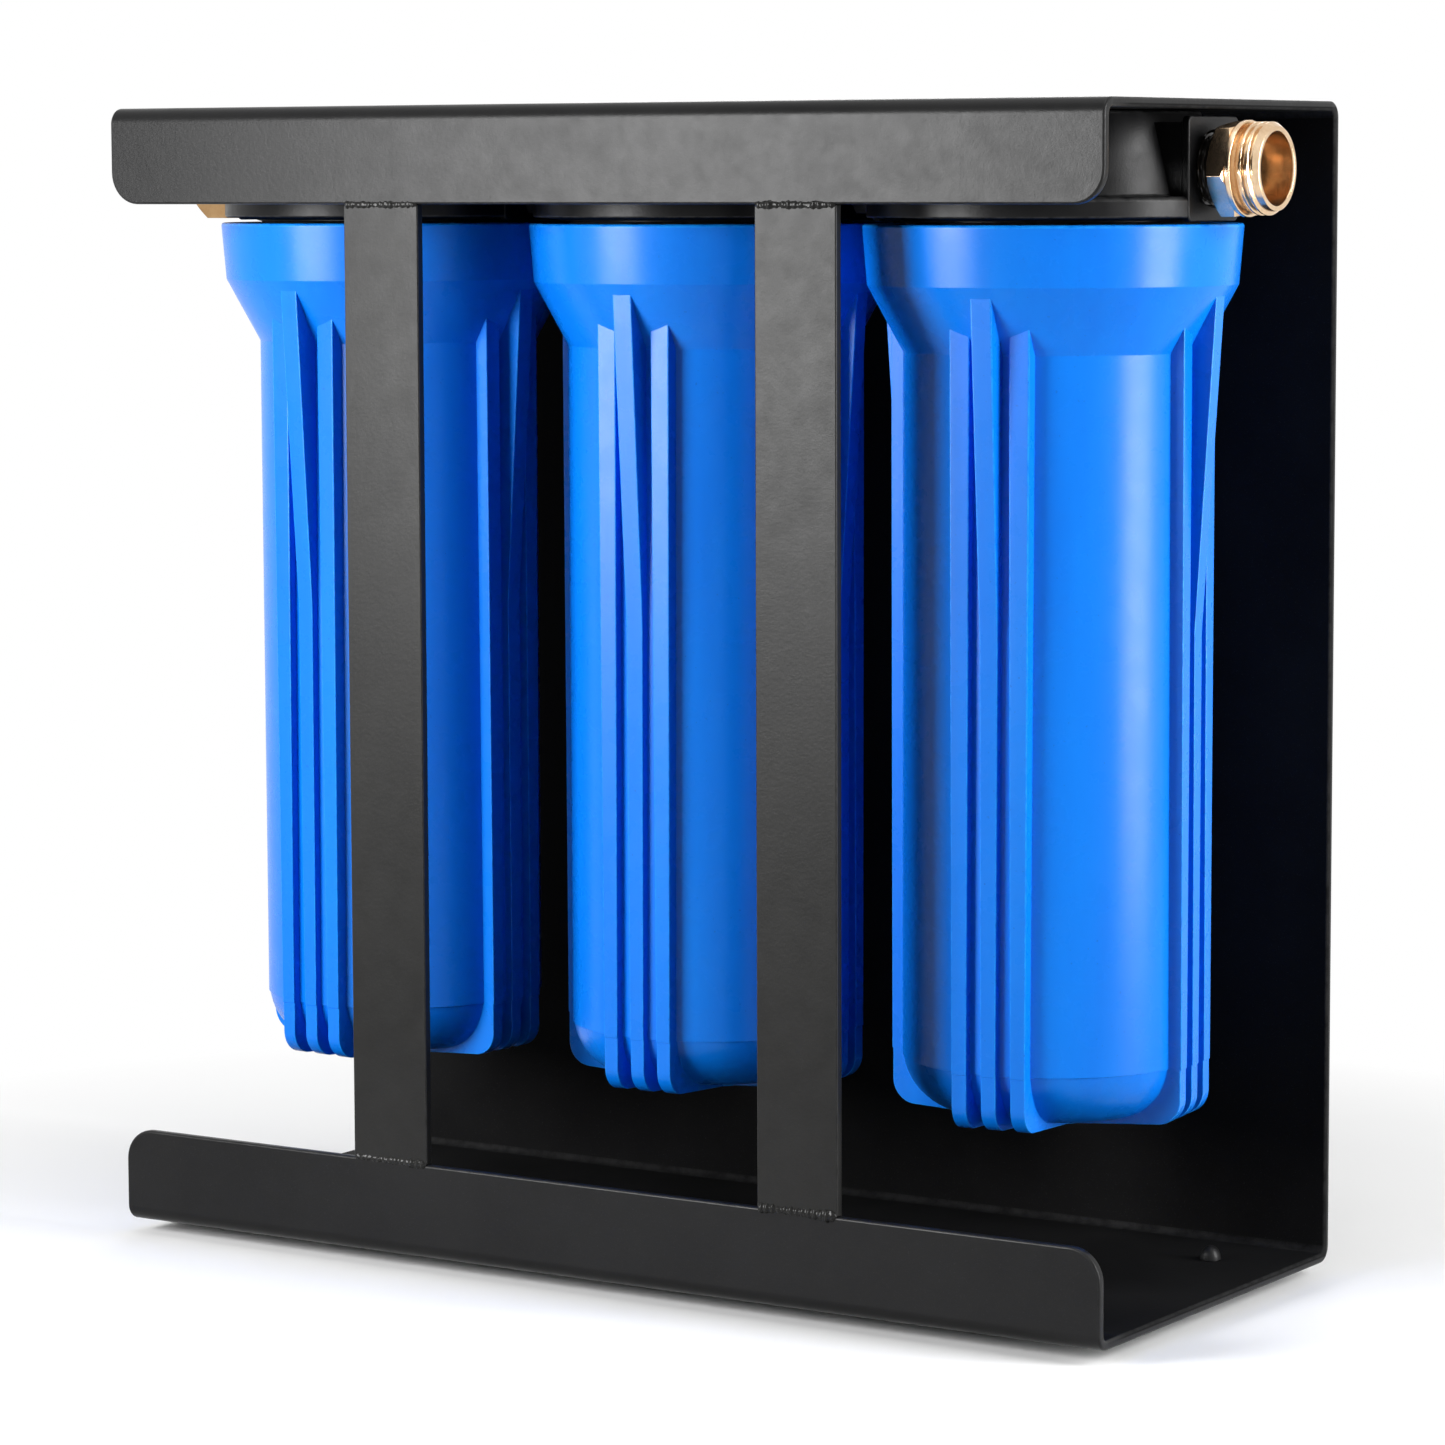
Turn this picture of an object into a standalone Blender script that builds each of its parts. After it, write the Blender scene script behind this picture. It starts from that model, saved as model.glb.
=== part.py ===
# Three-stage water filter for a travel trailer: three ribbed sumps screwed up into black caps that
# hang in a row under the top of a bent-sheet stand, with a brass hose fitting at each end.
# Metres, +Z up, the front faces -Y, the outlet is at +X. The origin is on the ground, under the
# middle of the stand.

import math

import bmesh
import bpy
from mathutils import Matrix

# Clearances and cuts
seat_gap = 0.0003
hole_clearance = 0.0004
cut_overrun = 0.003
weld_distance = 0.000001

# Stand, one bent sheet: bottom plate, back panel, top plate and two front flanges
stand_width = 0.356
stand_depth = 0.148
stand_height = 0.356
sheet_thickness = 0.003
bend_radius = 0.005
flange_height = 0.030
flange_corner_radius = 0.010
sheet_edge_round = 0.0005

# Flat bars welded upright between the two front flanges
bar_width = 0.028
bar_thickness = 0.003
bar_offset = 0.0745
bars_to_right = 0.0020
bar_edge_round = 0.0005

# Push-in rubber feet
foot_height = 0.004
foot_radius = 0.008
foot_edge_round = 0.001
foot_stem_radius = 0.0025
foot_bulb_radius = 0.0033
foot_bulb_height = 0.0043
foot_from_end = 0.025
foot_from_back = 0.031

# Filter stages
gap_between_sumps = 0.0073
room_under_sumps = 0.0489
stage_names = ("left", "middle", "right")
sump_turns = (math.radians(-4.0), math.radians(2.2), math.radians(6.2))

# Cap: wide conical boss, rim cut flat at the ports, threaded neck
boss_height = 0.0248
boss_taper = 0.0060
boss_foot_inset = 0.0058
boss_edge_round = 0.0010
rim_inset = 0.0013
rim_height = 0.0061
rim_edge_round = 0.0014
rim_under_slope = 0.0010
rim_flat_inset = 0.0003
neck_overhang = 0.0006
neck_wall = 0.0046
neck_length = 0.0178
ceiling_thickness = 0.0059
spigot_radius = 0.0180
spigot_length = 0.0123
outlet_hole_radius = 0.0070

# Ports on both sides of the cap, each a square duct out of the boss with a plate on its end
port_drop = 0.0169
port_inset = 0.0019
port_duct_width = 0.0300
port_duct_height = 0.0268
port_plate_width = 0.0312
port_plate_height = 0.0304
port_plate_thickness = 0.0025
port_plate_corner = 0.0020
port_thread_radius = 0.0109
port_thread_depth = 0.0150
port_passage_radius = 0.0060
inlet_hole_radius = 0.0045
inlet_hole_inset = 0.0055

# Flat-head screws that hold each cap to the top plate
screw_offset = 0.0130
screw_shank_radius = 0.0020
screw_head_radius = 0.0044
screw_head_height = 0.0024
screw_length = 0.0130
screw_tip_length = 0.0020
screw_hole_spare = 0.0010

# Sump: collar, cone, body, rounded bottom, bottom disc
collar_overhang = 0.0121
collar_taper = 0.0015
collar_height = 0.0180
collar_edge_round = 0.0006
collar_gap = 0.0009
cone_height = 0.0197
body_radius = 0.0445
body_wall = 0.0035
bottom_round = 0.0180
bottom_wall = 0.0040
disc_radius = 0.0165
disc_height = 0.0026
parting_height = 0.0188
parting_step = 0.0003
thread_clearance = 0.0004

# Ribs on the sump, three to a group on four sides
rib_groups = 4
rib_top_width = 0.0066
rib_foot_width = 0.0046
rib_spacing = 0.0094
rib_depth = 0.0025
side_rib_rise = 0.0120
middle_rib_top_inset = 0.0017
middle_rib_top_drop = 0.0024
middle_rib_taper = 0.0997
rib_corner_radius = 0.0075
rib_foot_rise = 0.0020
rib_inner_rise = 0.0004
rib_inner_gap = 0.0006

# Ring that seals the cap's neck in the sump
seal_section = 0.0031

# Cartridge and its end gaskets
cartridge_gap = 0.00925
cartridge_edge_round = 0.0010
gasket_inset = 0.00775
gasket_width = 0.0100
gasket_thickness = 0.0030

# Pipe thread shared by the fittings and the nipples, screwed into the ports
pipe_thread_clearance = 0.0003
pipe_thread_chamfer = 0.0010
pipe_thread_engaged = 0.0130
waterway_radius = 0.0070

# Outlet: hexagon, neck and garden-hose thread
outlet_thread_shown = 0.0052
outlet_hexagon_width = 0.0286
outlet_hexagon_length = 0.0057
outlet_hexagon_chamfer = 0.0009
outlet_hexagon_tilt = math.radians(8.6)
hose_neck_radius = 0.0121
hose_neck_length = 0.0015
hose_thread_radius = 0.0135
hose_thread_depth = 0.0011
hose_thread_pitch = 0.0022
hose_thread_crests = 3
crest_start_share = 0.375
crest_end_share = 0.625
hose_end_chamfer = 0.0008
hose_bore_radius = 0.0105
hose_bore_depth = 0.0120

# Inlet: long hexagon with a hose socket and its washer
inlet_thread_shown = 0.0068
inlet_hexagon_width = 0.0295
inlet_hexagon_chamfer = 0.0030
hose_socket_radius = 0.0134
hose_socket_depth = 0.0100
washer_thickness = 0.0028
washer_bore_radius = 0.0075

# Nipples between the caps
nipple_hexagon_width = 0.0260
nipple_hexagon_length = 0.0080

# Roundness
body_steps = 32
tube_steps = 20
hidden_steps = 16
small_steps = 10
bend_steps = 5
corner_steps = 5
plate_corner_steps = 2
bottom_steps = 5
hidden_bottom_steps = 3
seal_steps = 24
seal_section_steps = 8
sharp_angle = math.radians(35)

# Sizes and levels that follow from the ones above
stand_foot = foot_height + seat_gap
stand_top = stand_foot + stand_height
cap_top = stand_top - sheet_thickness - seat_gap
rim_top = cap_top - boss_height
rim_foot = rim_top - rim_height - rim_under_slope
neck_foot = rim_foot - neck_length
port_axis = cap_top - port_drop
sump_top = rim_foot - collar_gap
sump_foot = stand_foot + sheet_thickness + room_under_sumps
sump_height = sump_top - sump_foot
sump_floor = sump_foot + disc_height + bottom_wall
seal_shelf = neck_foot - seat_gap - seal_section - seat_gap
spigot_foot = rim_top - ceiling_thickness - spigot_length
cartridge_top = spigot_foot - seat_gap - gasket_thickness - seat_gap
cartridge_foot = sump_floor + seat_gap + gasket_thickness + seat_gap
cartridge_length = cartridge_top - cartridge_foot
collar_top_radius = body_radius + collar_overhang
collar_foot_radius = collar_top_radius - collar_taper
stage_spacing = 2 * collar_top_radius + gap_between_sumps
rim_radius = collar_top_radius - rim_inset
boss_foot_radius = rim_radius - boss_foot_inset
boss_top_radius = boss_foot_radius - boss_taper
port_reach = rim_radius - port_inset
rim_flat_reach = port_reach - rim_flat_inset
neck_radius = body_radius + neck_overhang
neck_bore_radius = neck_radius - neck_wall
inlet_hole_offset = neck_bore_radius - inlet_hole_inset
thread_bore_radius = neck_radius + thread_clearance
sump_bore_radius = body_radius - body_wall
cartridge_radius = sump_bore_radius - cartridge_gap
gasket_radius = cartridge_radius - gasket_inset
cartridge_bore_radius = gasket_radius - gasket_width
rib_reach = body_radius + rib_depth
middle_rib_top_reach = collar_foot_radius - middle_rib_top_inset
pipe_thread_radius = port_thread_radius - pipe_thread_clearance
screw_hole_radius = screw_shank_radius + hole_clearance

for leftover in list(bpy.data.objects):
    bpy.data.objects.remove(leftover, do_unlink=True)

parts = bpy.data.collections.new("rv_water_filter")
bpy.context.scene.collection.children.link(parts)
cutters = bpy.data.collections.new("cutters")
cutters.hide_render = True
bpy.context.scene.collection.children.link(cutters)


# Materials

def finish(name, colour, roughness, metallic):
    made = bpy.data.materials.new(name)
    made.use_nodes = True
    shader = made.node_tree.nodes["Principled BSDF"]
    shader.inputs["Base Color"].default_value = (*colour, 1)
    shader.inputs["Roughness"].default_value = roughness
    shader.inputs["Metallic"].default_value = metallic
    return made


black_coat = finish("black powder coat", (0.035, 0.035, 0.036), 0.45, 0)
black_plastic = finish("black plastic", (0.02, 0.02, 0.021), 0.5, 0)
blue_plastic = finish("blue plastic", (0.0, 0.16, 0.75), 0.3, 0)
brass = finish("brass", (0.72, 0.48, 0.2), 0.25, 1)
dull_brass = finish("dull brass", (0.6, 0.44, 0.25), 0.5, 1)
black_rubber = finish("black rubber", (0.015, 0.015, 0.016), 0.7, 0)
red_rubber = finish("red rubber", (0.35, 0.06, 0.04), 0.6, 0)
black_zinc = finish("black zinc", (0.05, 0.05, 0.055), 0.35, 1)
spun_fibre = finish("spun white fibre", (0.8, 0.8, 0.78), 0.9, 0)
carbon_block = finish("carbon block", (0.06, 0.06, 0.06), 0.9, 0)
white_gasket = finish("white gasket", (0.75, 0.75, 0.72), 0.6, 0)


# Shapes

def smooth(mesh):
    mesh.shade_smooth()
    mesh.set_sharp_from_angle(angle=sharp_angle)
    return mesh


def mesh_from(work, name):
    mesh = bpy.data.meshes.new(name)
    work.to_mesh(mesh)
    work.free()
    return mesh


def baked(thing):
    # The evaluated solid as a plain welded mesh; the object itself goes.
    bpy.context.view_layer.update()
    solid = bpy.data.meshes.new_from_object(thing.evaluated_get(bpy.context.evaluated_depsgraph_get()))
    solid.transform(thing.matrix_world)
    work = bmesh.new()
    work.from_mesh(solid)
    bmesh.ops.remove_doubles(work, verts=work.verts, dist=weld_distance)
    bmesh.ops.recalc_face_normals(work, faces=work.faces)
    name = thing.name
    bpy.data.objects.remove(thing, do_unlink=True)
    return smooth(mesh_from(work, name))


def helper(name, data):
    thing = bpy.data.objects.new(name, data)
    thing.hide_render = True
    thing.display_type = "WIRE"
    cutters.objects.link(thing)
    return thing


def arc(centre_x, centre_y, radius, start, end, steps):
    # Points from one angle to another, in degrees.
    angles = [math.radians(start + (end - start) * step / steps) for step in range(steps + 1)]
    return [(centre_x + radius * math.cos(angle), centre_y + radius * math.sin(angle)) for angle in angles]


def turned(name, profile, steps):
    # Profile points are (radius, height) and run down the outer side.
    mesh = bpy.data.meshes.new(name)
    points = [(radius, 0, height) for radius, height in profile]
    mesh.from_pydata(points, [(i, i + 1) for i in range(len(points) - 1)], [])
    thing = helper(name, mesh)
    spin = thing.modifiers.new("spin", "SCREW")
    spin.axis = "Z"
    spin.angle = math.tau
    spin.steps = steps
    spin.render_steps = steps
    spin.use_merge_vertices = True
    spin.merge_threshold = weld_distance
    return baked(thing)


def flat(name, outline, thickness):
    # Closed outline in X and Y, with its thickness centred on Z = 0.
    curve = bpy.data.curves.new(name, "CURVE")
    curve.dimensions = "2D"
    curve.fill_mode = "BOTH"
    curve.extrude = thickness / 2
    spline = curve.splines.new("POLY")
    spline.points.add(len(outline) - 1)
    for point, (x, y) in zip(spline.points, outline):
        point.co = (x, y, 0, 1)
    spline.use_cyclic_u = True
    return baked(helper(name, curve))


def rod(name, radius, low, high, steps):
    # Upright cylinder, or prism with a corner on +Y, between two heights.
    work = bmesh.new()
    bmesh.ops.create_cone(
        work, cap_ends=True, segments=steps, radius1=radius, radius2=radius, depth=high - low
    )
    bmesh.ops.translate(work, verts=work.verts, vec=(0, 0, (high + low) / 2))
    return smooth(mesh_from(work, name))


def hexagon(name, width_across_flats, low, high):
    return rod(name, width_across_flats / 2 / math.cos(math.pi / 6), low, high, 6)


def gathered(name, placed):
    # One mesh of separate shapes, each given as a mesh and its place.
    work = bmesh.new()
    for mesh, place in placed:
        piece = mesh.copy()
        piece.transform(place)
        work.from_mesh(piece)
    return mesh_from(work, name)


def worked(name, mesh, steps):
    # A mesh after a list of (operation, other mesh) steps.
    thing = helper(name, mesh)
    others = []
    for operation, other_mesh in steps:
        other = helper(name + " " + other_mesh.name, other_mesh)
        step = thing.modifiers.new(operation.lower(), "BOOLEAN")
        step.operation = operation
        step.object = other
        step.solver = "EXACT"
        others.append(other)
    result = baked(thing)
    for other in others:
        bpy.data.objects.remove(other, do_unlink=True)
    return result


def round_edges(thing, width):
    edge = thing.modifiers.new("round edges", "BEVEL")
    edge.width = width
    edge.segments = 1
    edge.limit_method = "ANGLE"
    edge.angle_limit = sharp_angle


def along_x(sign):
    # Lays an upright shape down with its top towards +X or -X.
    return Matrix.Rotation(sign * math.pi / 2, 4, "Y")


def put(name, mesh, material, place, turn=(0, 0, 0), parent=None):
    thing = bpy.data.objects.new(name, mesh)
    thing.location = place
    thing.rotation_euler = turn
    thing.parent = parent
    mesh.materials.clear()
    mesh.materials.append(material)
    parts.objects.link(thing)
    return thing


# Stand

stage_places = [(index - 1) * stage_spacing for index in range(len(stage_names))]
screw_places = [(x * screw_offset, y * screw_offset) for x in (-1, 1) for y in (-1, 1)]
foot_x = stand_width / 2 - foot_from_end
foot_y = stand_depth / 2 - foot_from_back
foot_places = [(x * foot_x, y * foot_y) for x in (-1, 1) for y in (-1, 1)]
front = -stand_depth / 2
back = stand_depth / 2


def bent_sheet():
    # The sheet's outer skin is swept across the width and thickened inwards.
    low = stand_foot + bend_radius
    high = stand_top - bend_radius
    path = [(front, stand_foot + flange_height)]
    path += arc(front + bend_radius, low, bend_radius, 180, 270, bend_steps)
    path += arc(back - bend_radius, low, bend_radius, 270, 360, bend_steps)
    path += arc(back - bend_radius, high, bend_radius, 0, 90, bend_steps)
    path += arc(front + bend_radius, high, bend_radius, 90, 180, bend_steps)
    path.append((front, stand_top - flange_height))
    skin = bmesh.new()
    points = [skin.verts.new((-stand_width / 2, y, z)) for y, z in path]
    edges = [skin.edges.new(pair) for pair in zip(points, points[1:])]
    swept = bmesh.ops.extrude_edge_only(skin, edges=edges)["geom"]
    far = [item for item in swept if isinstance(item, bmesh.types.BMVert)]
    bmesh.ops.translate(skin, verts=far, vec=(stand_width, 0, 0))
    # Only the flanges' free corners lie between the bends.
    middle = stand_foot + stand_height / 2
    reach = stand_height / 2 - 2 * bend_radius
    corners = [point for point in skin.verts if abs(point.co.z - middle) < reach]
    bmesh.ops.bevel(
        skin,
        geom=corners,
        offset=flange_corner_radius,
        segments=corner_steps,
        profile=0.5,
        affect="VERTICES",
    )
    bmesh.ops.recalc_face_normals(skin, faces=skin.faces)
    lowest = min(skin.faces, key=lambda face: face.calc_center_median().z)
    if lowest.normal.z > 0:
        bmesh.ops.reverse_faces(skin, faces=skin.faces)
    thing = helper("sheet", mesh_from(skin, "sheet"))
    thicken = thing.modifiers.new("sheet thickness", "SOLIDIFY")
    thicken.thickness = sheet_thickness
    thicken.offset = -1
    thicken.use_even_offset = True
    round_edges(thing, sheet_edge_round)
    return baked(thing)


def stand_holes():
    sink_radius = screw_head_radius + hole_clearance
    sink = turned(
        "countersink",
        [
            (0, cut_overrun),
            (sink_radius + cut_overrun, cut_overrun),
            (sink_radius, 0),
            (screw_hole_radius, -screw_head_height),
            (screw_hole_radius, -sheet_thickness - cut_overrun),
            (0, -sheet_thickness - cut_overrun),
        ],
        small_steps,
    )
    stem_hole_radius = foot_stem_radius + hole_clearance
    stem_hole = rod("stem hole", stem_hole_radius, -cut_overrun, sheet_thickness + cut_overrun, small_steps)
    placed = [(stem_hole, Matrix.Translation((x, y, stand_foot))) for x, y in foot_places]
    for stage_x in stage_places:
        placed += [(sink, Matrix.Translation((stage_x + x, y, stand_top))) for x, y in screw_places]
    return gathered("stand holes", placed)


stand_mesh = worked("stand", bent_sheet(), [("DIFFERENCE", stand_holes())])
put("stand", stand_mesh, black_coat, (0, 0, 0))

# Upright bars, butted between the flanges and flush with them

bar_length = stand_height - 2 * flange_height - 2 * seat_gap
bar_work = bmesh.new()
bmesh.ops.create_cube(bar_work, size=1, matrix=Matrix.Diagonal((bar_width, bar_thickness, bar_length, 1)))
bar_mesh = mesh_from(bar_work, "bar")
bar_level = stand_foot + stand_height / 2
for bar_name, side in (("bar_left", -1), ("bar_right", 1)):
    bar_x = side * bar_offset + bars_to_right
    bar = put(bar_name, bar_mesh, black_coat, (bar_x, front + bar_thickness / 2, bar_level))
    round_edges(bar, bar_edge_round)


# Feet: a pad under the bottom plate, a stem through it and a bulb above it

def foot_shape():
    bulb_foot = foot_height + seat_gap + sheet_thickness + seat_gap
    dome = arc(0, 0, 1, 70, 0, 3)
    profile = [(0, bulb_foot + foot_bulb_height)]
    profile += [(x * foot_bulb_radius, bulb_foot + z * foot_bulb_height) for x, z in dome]
    profile += [
        (foot_stem_radius, bulb_foot),
        (foot_stem_radius, foot_height),
        (foot_radius - foot_edge_round, foot_height),
        (foot_radius, foot_height - foot_edge_round),
        (foot_radius, 0),
        (0, 0),
    ]
    return turned("foot", profile, small_steps)


foot_mesh = foot_shape()
for x, y in foot_places:
    foot_name = "foot_" + ("back" if y > 0 else "front") + ("_right" if x > 0 else "_left")
    put(foot_name, foot_mesh, black_rubber, (x, y, 0))


# Cap, with its heights counted from its top

def port_bore(passage_end):
    thread_end = port_reach - port_thread_depth
    profile = [
        (0, port_reach + cut_overrun),
        (port_thread_radius, port_reach + cut_overrun),
        (port_thread_radius, thread_end),
        (port_passage_radius, thread_end),
        (port_passage_radius, passage_end),
        (0, passage_end),
    ]
    return turned("port bore", profile, tube_steps)


def box(name, height, width, length):
    # Laid along X and centred on the origin.
    corners = [(x * height / 2, y * width / 2) for x, y in ((1, 1), (-1, 1), (-1, -1), (1, -1))]
    mesh = flat(name, corners, length)
    mesh.transform(along_x(1))
    return mesh


def port_plate():
    across = port_plate_height / 2 - port_plate_corner
    along = port_plate_width / 2 - port_plate_corner
    outline = []
    for turn, (x, y) in enumerate(((across, along), (-across, along), (-across, -along), (across, -along))):
        outline += arc(x, y, port_plate_corner, turn * 90, turn * 90 + 90, plate_corner_steps)
    return flat("port plate", outline, port_plate_thickness)


def cap_shape():
    rim_foot_level = rim_foot - cap_top
    rim_top_level = rim_top - cap_top
    neck_foot_level = neck_foot - cap_top
    ceiling = rim_top_level - ceiling_thickness
    spigot_foot_level = spigot_foot - cap_top
    blank = turned(
        "cap",
        [
            (0, 0),
            (boss_top_radius - boss_edge_round, 0),
            (boss_top_radius, -boss_edge_round),
            (boss_foot_radius, rim_top_level),
            (rim_radius - rim_edge_round, rim_top_level),
            (rim_radius, rim_top_level - rim_edge_round),
            (rim_radius, rim_top_level - rim_height),
            (neck_radius, rim_foot_level),
            (neck_radius, neck_foot_level),
            (neck_bore_radius, neck_foot_level),
            (neck_bore_radius, ceiling),
            (spigot_radius, ceiling),
            (spigot_radius, spigot_foot_level),
            (0, spigot_foot_level),
        ],
        body_steps,
    )
    level = Matrix.Translation((0, 0, -port_drop))
    duct_reach = port_reach - port_plate_thickness / 2
    duct = box("port duct", port_duct_height, port_duct_width, 2 * duct_reach)
    duct.transform(level)
    round_size = 2 * (rim_radius + cut_overrun)
    plate = port_plate()
    outwards = Matrix.Translation((0, 0, duct_reach))
    plates = gathered("port plates", [(plate, level @ along_x(sign) @ outwards) for sign in (-1, 1)])
    # The inlet drops into the sump outside the cartridge, and the outlet rises inside it.
    bores = gathered(
        "port bores",
        [(port_bore(inlet_hole_offset), level @ along_x(-1)), (port_bore(0), level @ along_x(1))],
    )
    outlet_hole = rod(
        "outlet hole", outlet_hole_radius, spigot_foot_level - cut_overrun, -port_drop, hidden_steps
    )
    inlet_hole = rod("inlet hole", inlet_hole_radius, ceiling - cut_overrun, -port_drop, small_steps)
    screw_hole_depth = screw_length - sheet_thickness - seat_gap + screw_hole_spare
    screw_hole = rod("screw hole", screw_hole_radius, -screw_hole_depth, cut_overrun, small_steps)
    holes = [(outlet_hole, Matrix()), (inlet_hole, Matrix.Translation((-inlet_hole_offset, 0, 0)))]
    holes += [(screw_hole, Matrix.Translation((x, y, 0))) for x, y in screw_places]
    steps = [
        ("INTERSECT", box("rim flats", round_size, round_size, 2 * rim_flat_reach)),
        ("UNION", duct),
        ("UNION", plates),
        ("DIFFERENCE", bores),
        ("DIFFERENCE", gathered("cap holes", holes)),
    ]
    return worked("cap", blank, steps)


# Sump, with its heights counted from its foot

cone_foot = sump_height - collar_height - cone_height
inner_floor = disc_height + bottom_wall
inner_round = bottom_round - body_wall
lower_radius = body_radius - parting_step


def sump_blank():
    shelf = seal_shelf - sump_foot
    round_centre = disc_height + bottom_round
    start = 360 - math.degrees(math.asin((round_centre - parting_height) / bottom_round))
    profile = [(0, inner_floor)]
    profile += arc(
        sump_bore_radius - inner_round,
        inner_floor + inner_round,
        inner_round,
        270,
        360,
        hidden_bottom_steps,
    )
    profile += [
        (sump_bore_radius, shelf),
        (thread_bore_radius, shelf),
        (thread_bore_radius, sump_height),
        (collar_top_radius - collar_edge_round, sump_height),
        (collar_top_radius, sump_height - collar_edge_round),
        (collar_foot_radius, sump_height - collar_height),
        (body_radius, cone_foot),
        (body_radius, parting_height),
    ]
    profile += arc(lower_radius - bottom_round, round_centre, bottom_round, start, 270, bottom_steps)
    profile += [(disc_radius, disc_height), (disc_radius, 0), (0, 0)]
    return turned("sump", profile, body_steps)


def rib(offset):
    # One rib, offset sideways in its group: its distance from the axis is X and its height is Y.
    # The outer side runs down, and the inner side runs up inside the sump's wall. It thickens upwards.
    lower_reach = rib_reach - parting_step
    outer = [(rib_reach, cone_foot + side_rib_rise)]
    foot = rib_spacing + rib_top_width / 2 + rib_inner_gap
    if not offset:
        top = sump_height - collar_height - middle_rib_top_drop
        outer = [(middle_rib_top_reach, top), (rib_reach, top - middle_rib_taper)]
        foot = disc_radius - disc_height
    outer += [(rib_reach, parting_height), (lower_reach, parting_height)]
    outer += arc(
        lower_reach - rib_corner_radius,
        rib_foot_rise + rib_corner_radius,
        rib_corner_radius,
        360,
        270,
        bottom_steps,
    )
    outer.append((foot, rib_inner_rise))
    wall_radius = (body_radius + sump_bore_radius) / 2
    wall_level = (disc_height + inner_floor) / 2
    wall_round = (bottom_round + inner_round) / 2
    corner = arc(
        wall_radius - wall_round, wall_level + wall_round, wall_round, 270, 360, hidden_bottom_steps
    )
    inner = [(foot, wall_level)]
    inner += [(math.sqrt(radius**2 - offset**2), height) for radius, height in corner]
    inner.append((inner[-1][0], cone_foot))
    if offset:
        inner.append((inner[-1][0], outer[0][1]))
    else:
        inner.append((rib_reach, cone_foot + cone_height / 2))
        inner.append((rib_reach + body_wall / 2, outer[0][1]))
    shape = flat("rib", outer + inner, rib_foot_width)
    draft = (rib_top_width / rib_foot_width - 1) / (sump_height - collar_height)
    for point in shape.vertices:
        point.co.z *= 1 + draft * point.co.y
    return shape


def sump_shape():
    shapes = {0: rib(0), 1: rib(rib_spacing), -1: rib(rib_spacing)}
    # Stands an outline up pointing to the front, with its thickness across.
    upright = Matrix(((0, 0, -1, 0), (-1, 0, 0, 0), (0, 1, 0, 0), (0, 0, 0, 1)))
    placed = []
    for group in range(rib_groups):
        facing = Matrix.Rotation(math.tau * group / rib_groups, 4, "Z")
        for side, shape in shapes.items():
            aside = Matrix.Translation((side * rib_spacing, 0, 0))
            placed.append((shape, facing @ aside @ upright))
    return worked("sump", sump_blank(), [("UNION", gathered("ribs", placed))])


# Pieces inside each stage

def seal_shape():
    bpy.ops.mesh.primitive_torus_add(
        major_radius=(thread_bore_radius + sump_bore_radius) / 2,
        minor_radius=seal_section / 2,
        major_segments=seal_steps,
        minor_segments=seal_section_steps,
    )
    return baked(bpy.context.object)


def washer_shape(name, outer_radius, bore_radius, thickness):
    # Flat ring that stands on its own foot.
    profile = [
        (bore_radius, thickness),
        (outer_radius, thickness),
        (outer_radius, 0),
        (bore_radius, 0),
        (bore_radius, thickness),
    ]
    return turned(name, profile, hidden_steps)


def cartridge_shape():
    shoulder = cartridge_radius - cartridge_edge_round
    profile = [
        (cartridge_bore_radius, cartridge_length),
        (shoulder, cartridge_length),
        (cartridge_radius, cartridge_length - cartridge_edge_round),
        (cartridge_radius, cartridge_edge_round),
        (shoulder, 0),
        (cartridge_bore_radius, 0),
        (cartridge_bore_radius, cartridge_length),
    ]
    return turned("cartridge", profile, tube_steps)


def screw_shape():
    profile = [
        (0, 0),
        (screw_head_radius, 0),
        (screw_shank_radius, -screw_head_height),
        (screw_shank_radius, screw_tip_length - screw_length),
        (0, -screw_length),
    ]
    return turned("screw", profile, small_steps)


# Stages: cap, screws, sump, seal and cartridge about one upright axis

cap_mesh = cap_shape()
sump_mesh = sump_shape()
seal_mesh = seal_shape()
seal_level = seal_shelf + seat_gap + seal_section / 2
gasket_mesh = washer_shape("gasket", gasket_radius, cartridge_bore_radius, gasket_thickness)
screw_mesh = screw_shape()
fillings = (spun_fibre, carbon_block, carbon_block)
for name, stage_x, turn, filling in zip(stage_names, stage_places, sump_turns, fillings):
    axis = bpy.data.objects.new("axis_" + name, None)
    axis.location = (stage_x, 0, 0)
    parts.objects.link(axis)
    put("cap_" + name, cap_mesh, black_plastic, (0, 0, cap_top), parent=axis)
    put("sump_" + name, sump_mesh, blue_plastic, (0, 0, sump_foot), (0, 0, turn), axis)
    put("seal_" + name, seal_mesh, black_rubber, (0, 0, seal_level), parent=axis)
    put("gasket_low_" + name, gasket_mesh, white_gasket, (0, 0, sump_floor + seat_gap), parent=axis)
    put("cartridge_" + name, cartridge_shape(), filling, (0, 0, cartridge_foot), parent=axis)
    put("gasket_high_" + name, gasket_mesh, white_gasket, (0, 0, cartridge_top + seat_gap), parent=axis)
    for number, (x, y) in enumerate(screw_places, 1):
        screw_name = "screw_" + name + "_" + str(number)
        put(screw_name, screw_mesh, black_zinc, (x, y, stand_top), parent=axis)


# Fittings, each made upright with its pipe thread's end at the foot, and laid along X

def pipe_thread(top):
    # Profile of the plain cylinder that stands for the thread, down to the foot.
    return [
        (pipe_thread_radius, top),
        (pipe_thread_radius, pipe_thread_chamfer),
        (pipe_thread_radius - pipe_thread_chamfer, 0),
        (0, 0),
    ]


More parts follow.
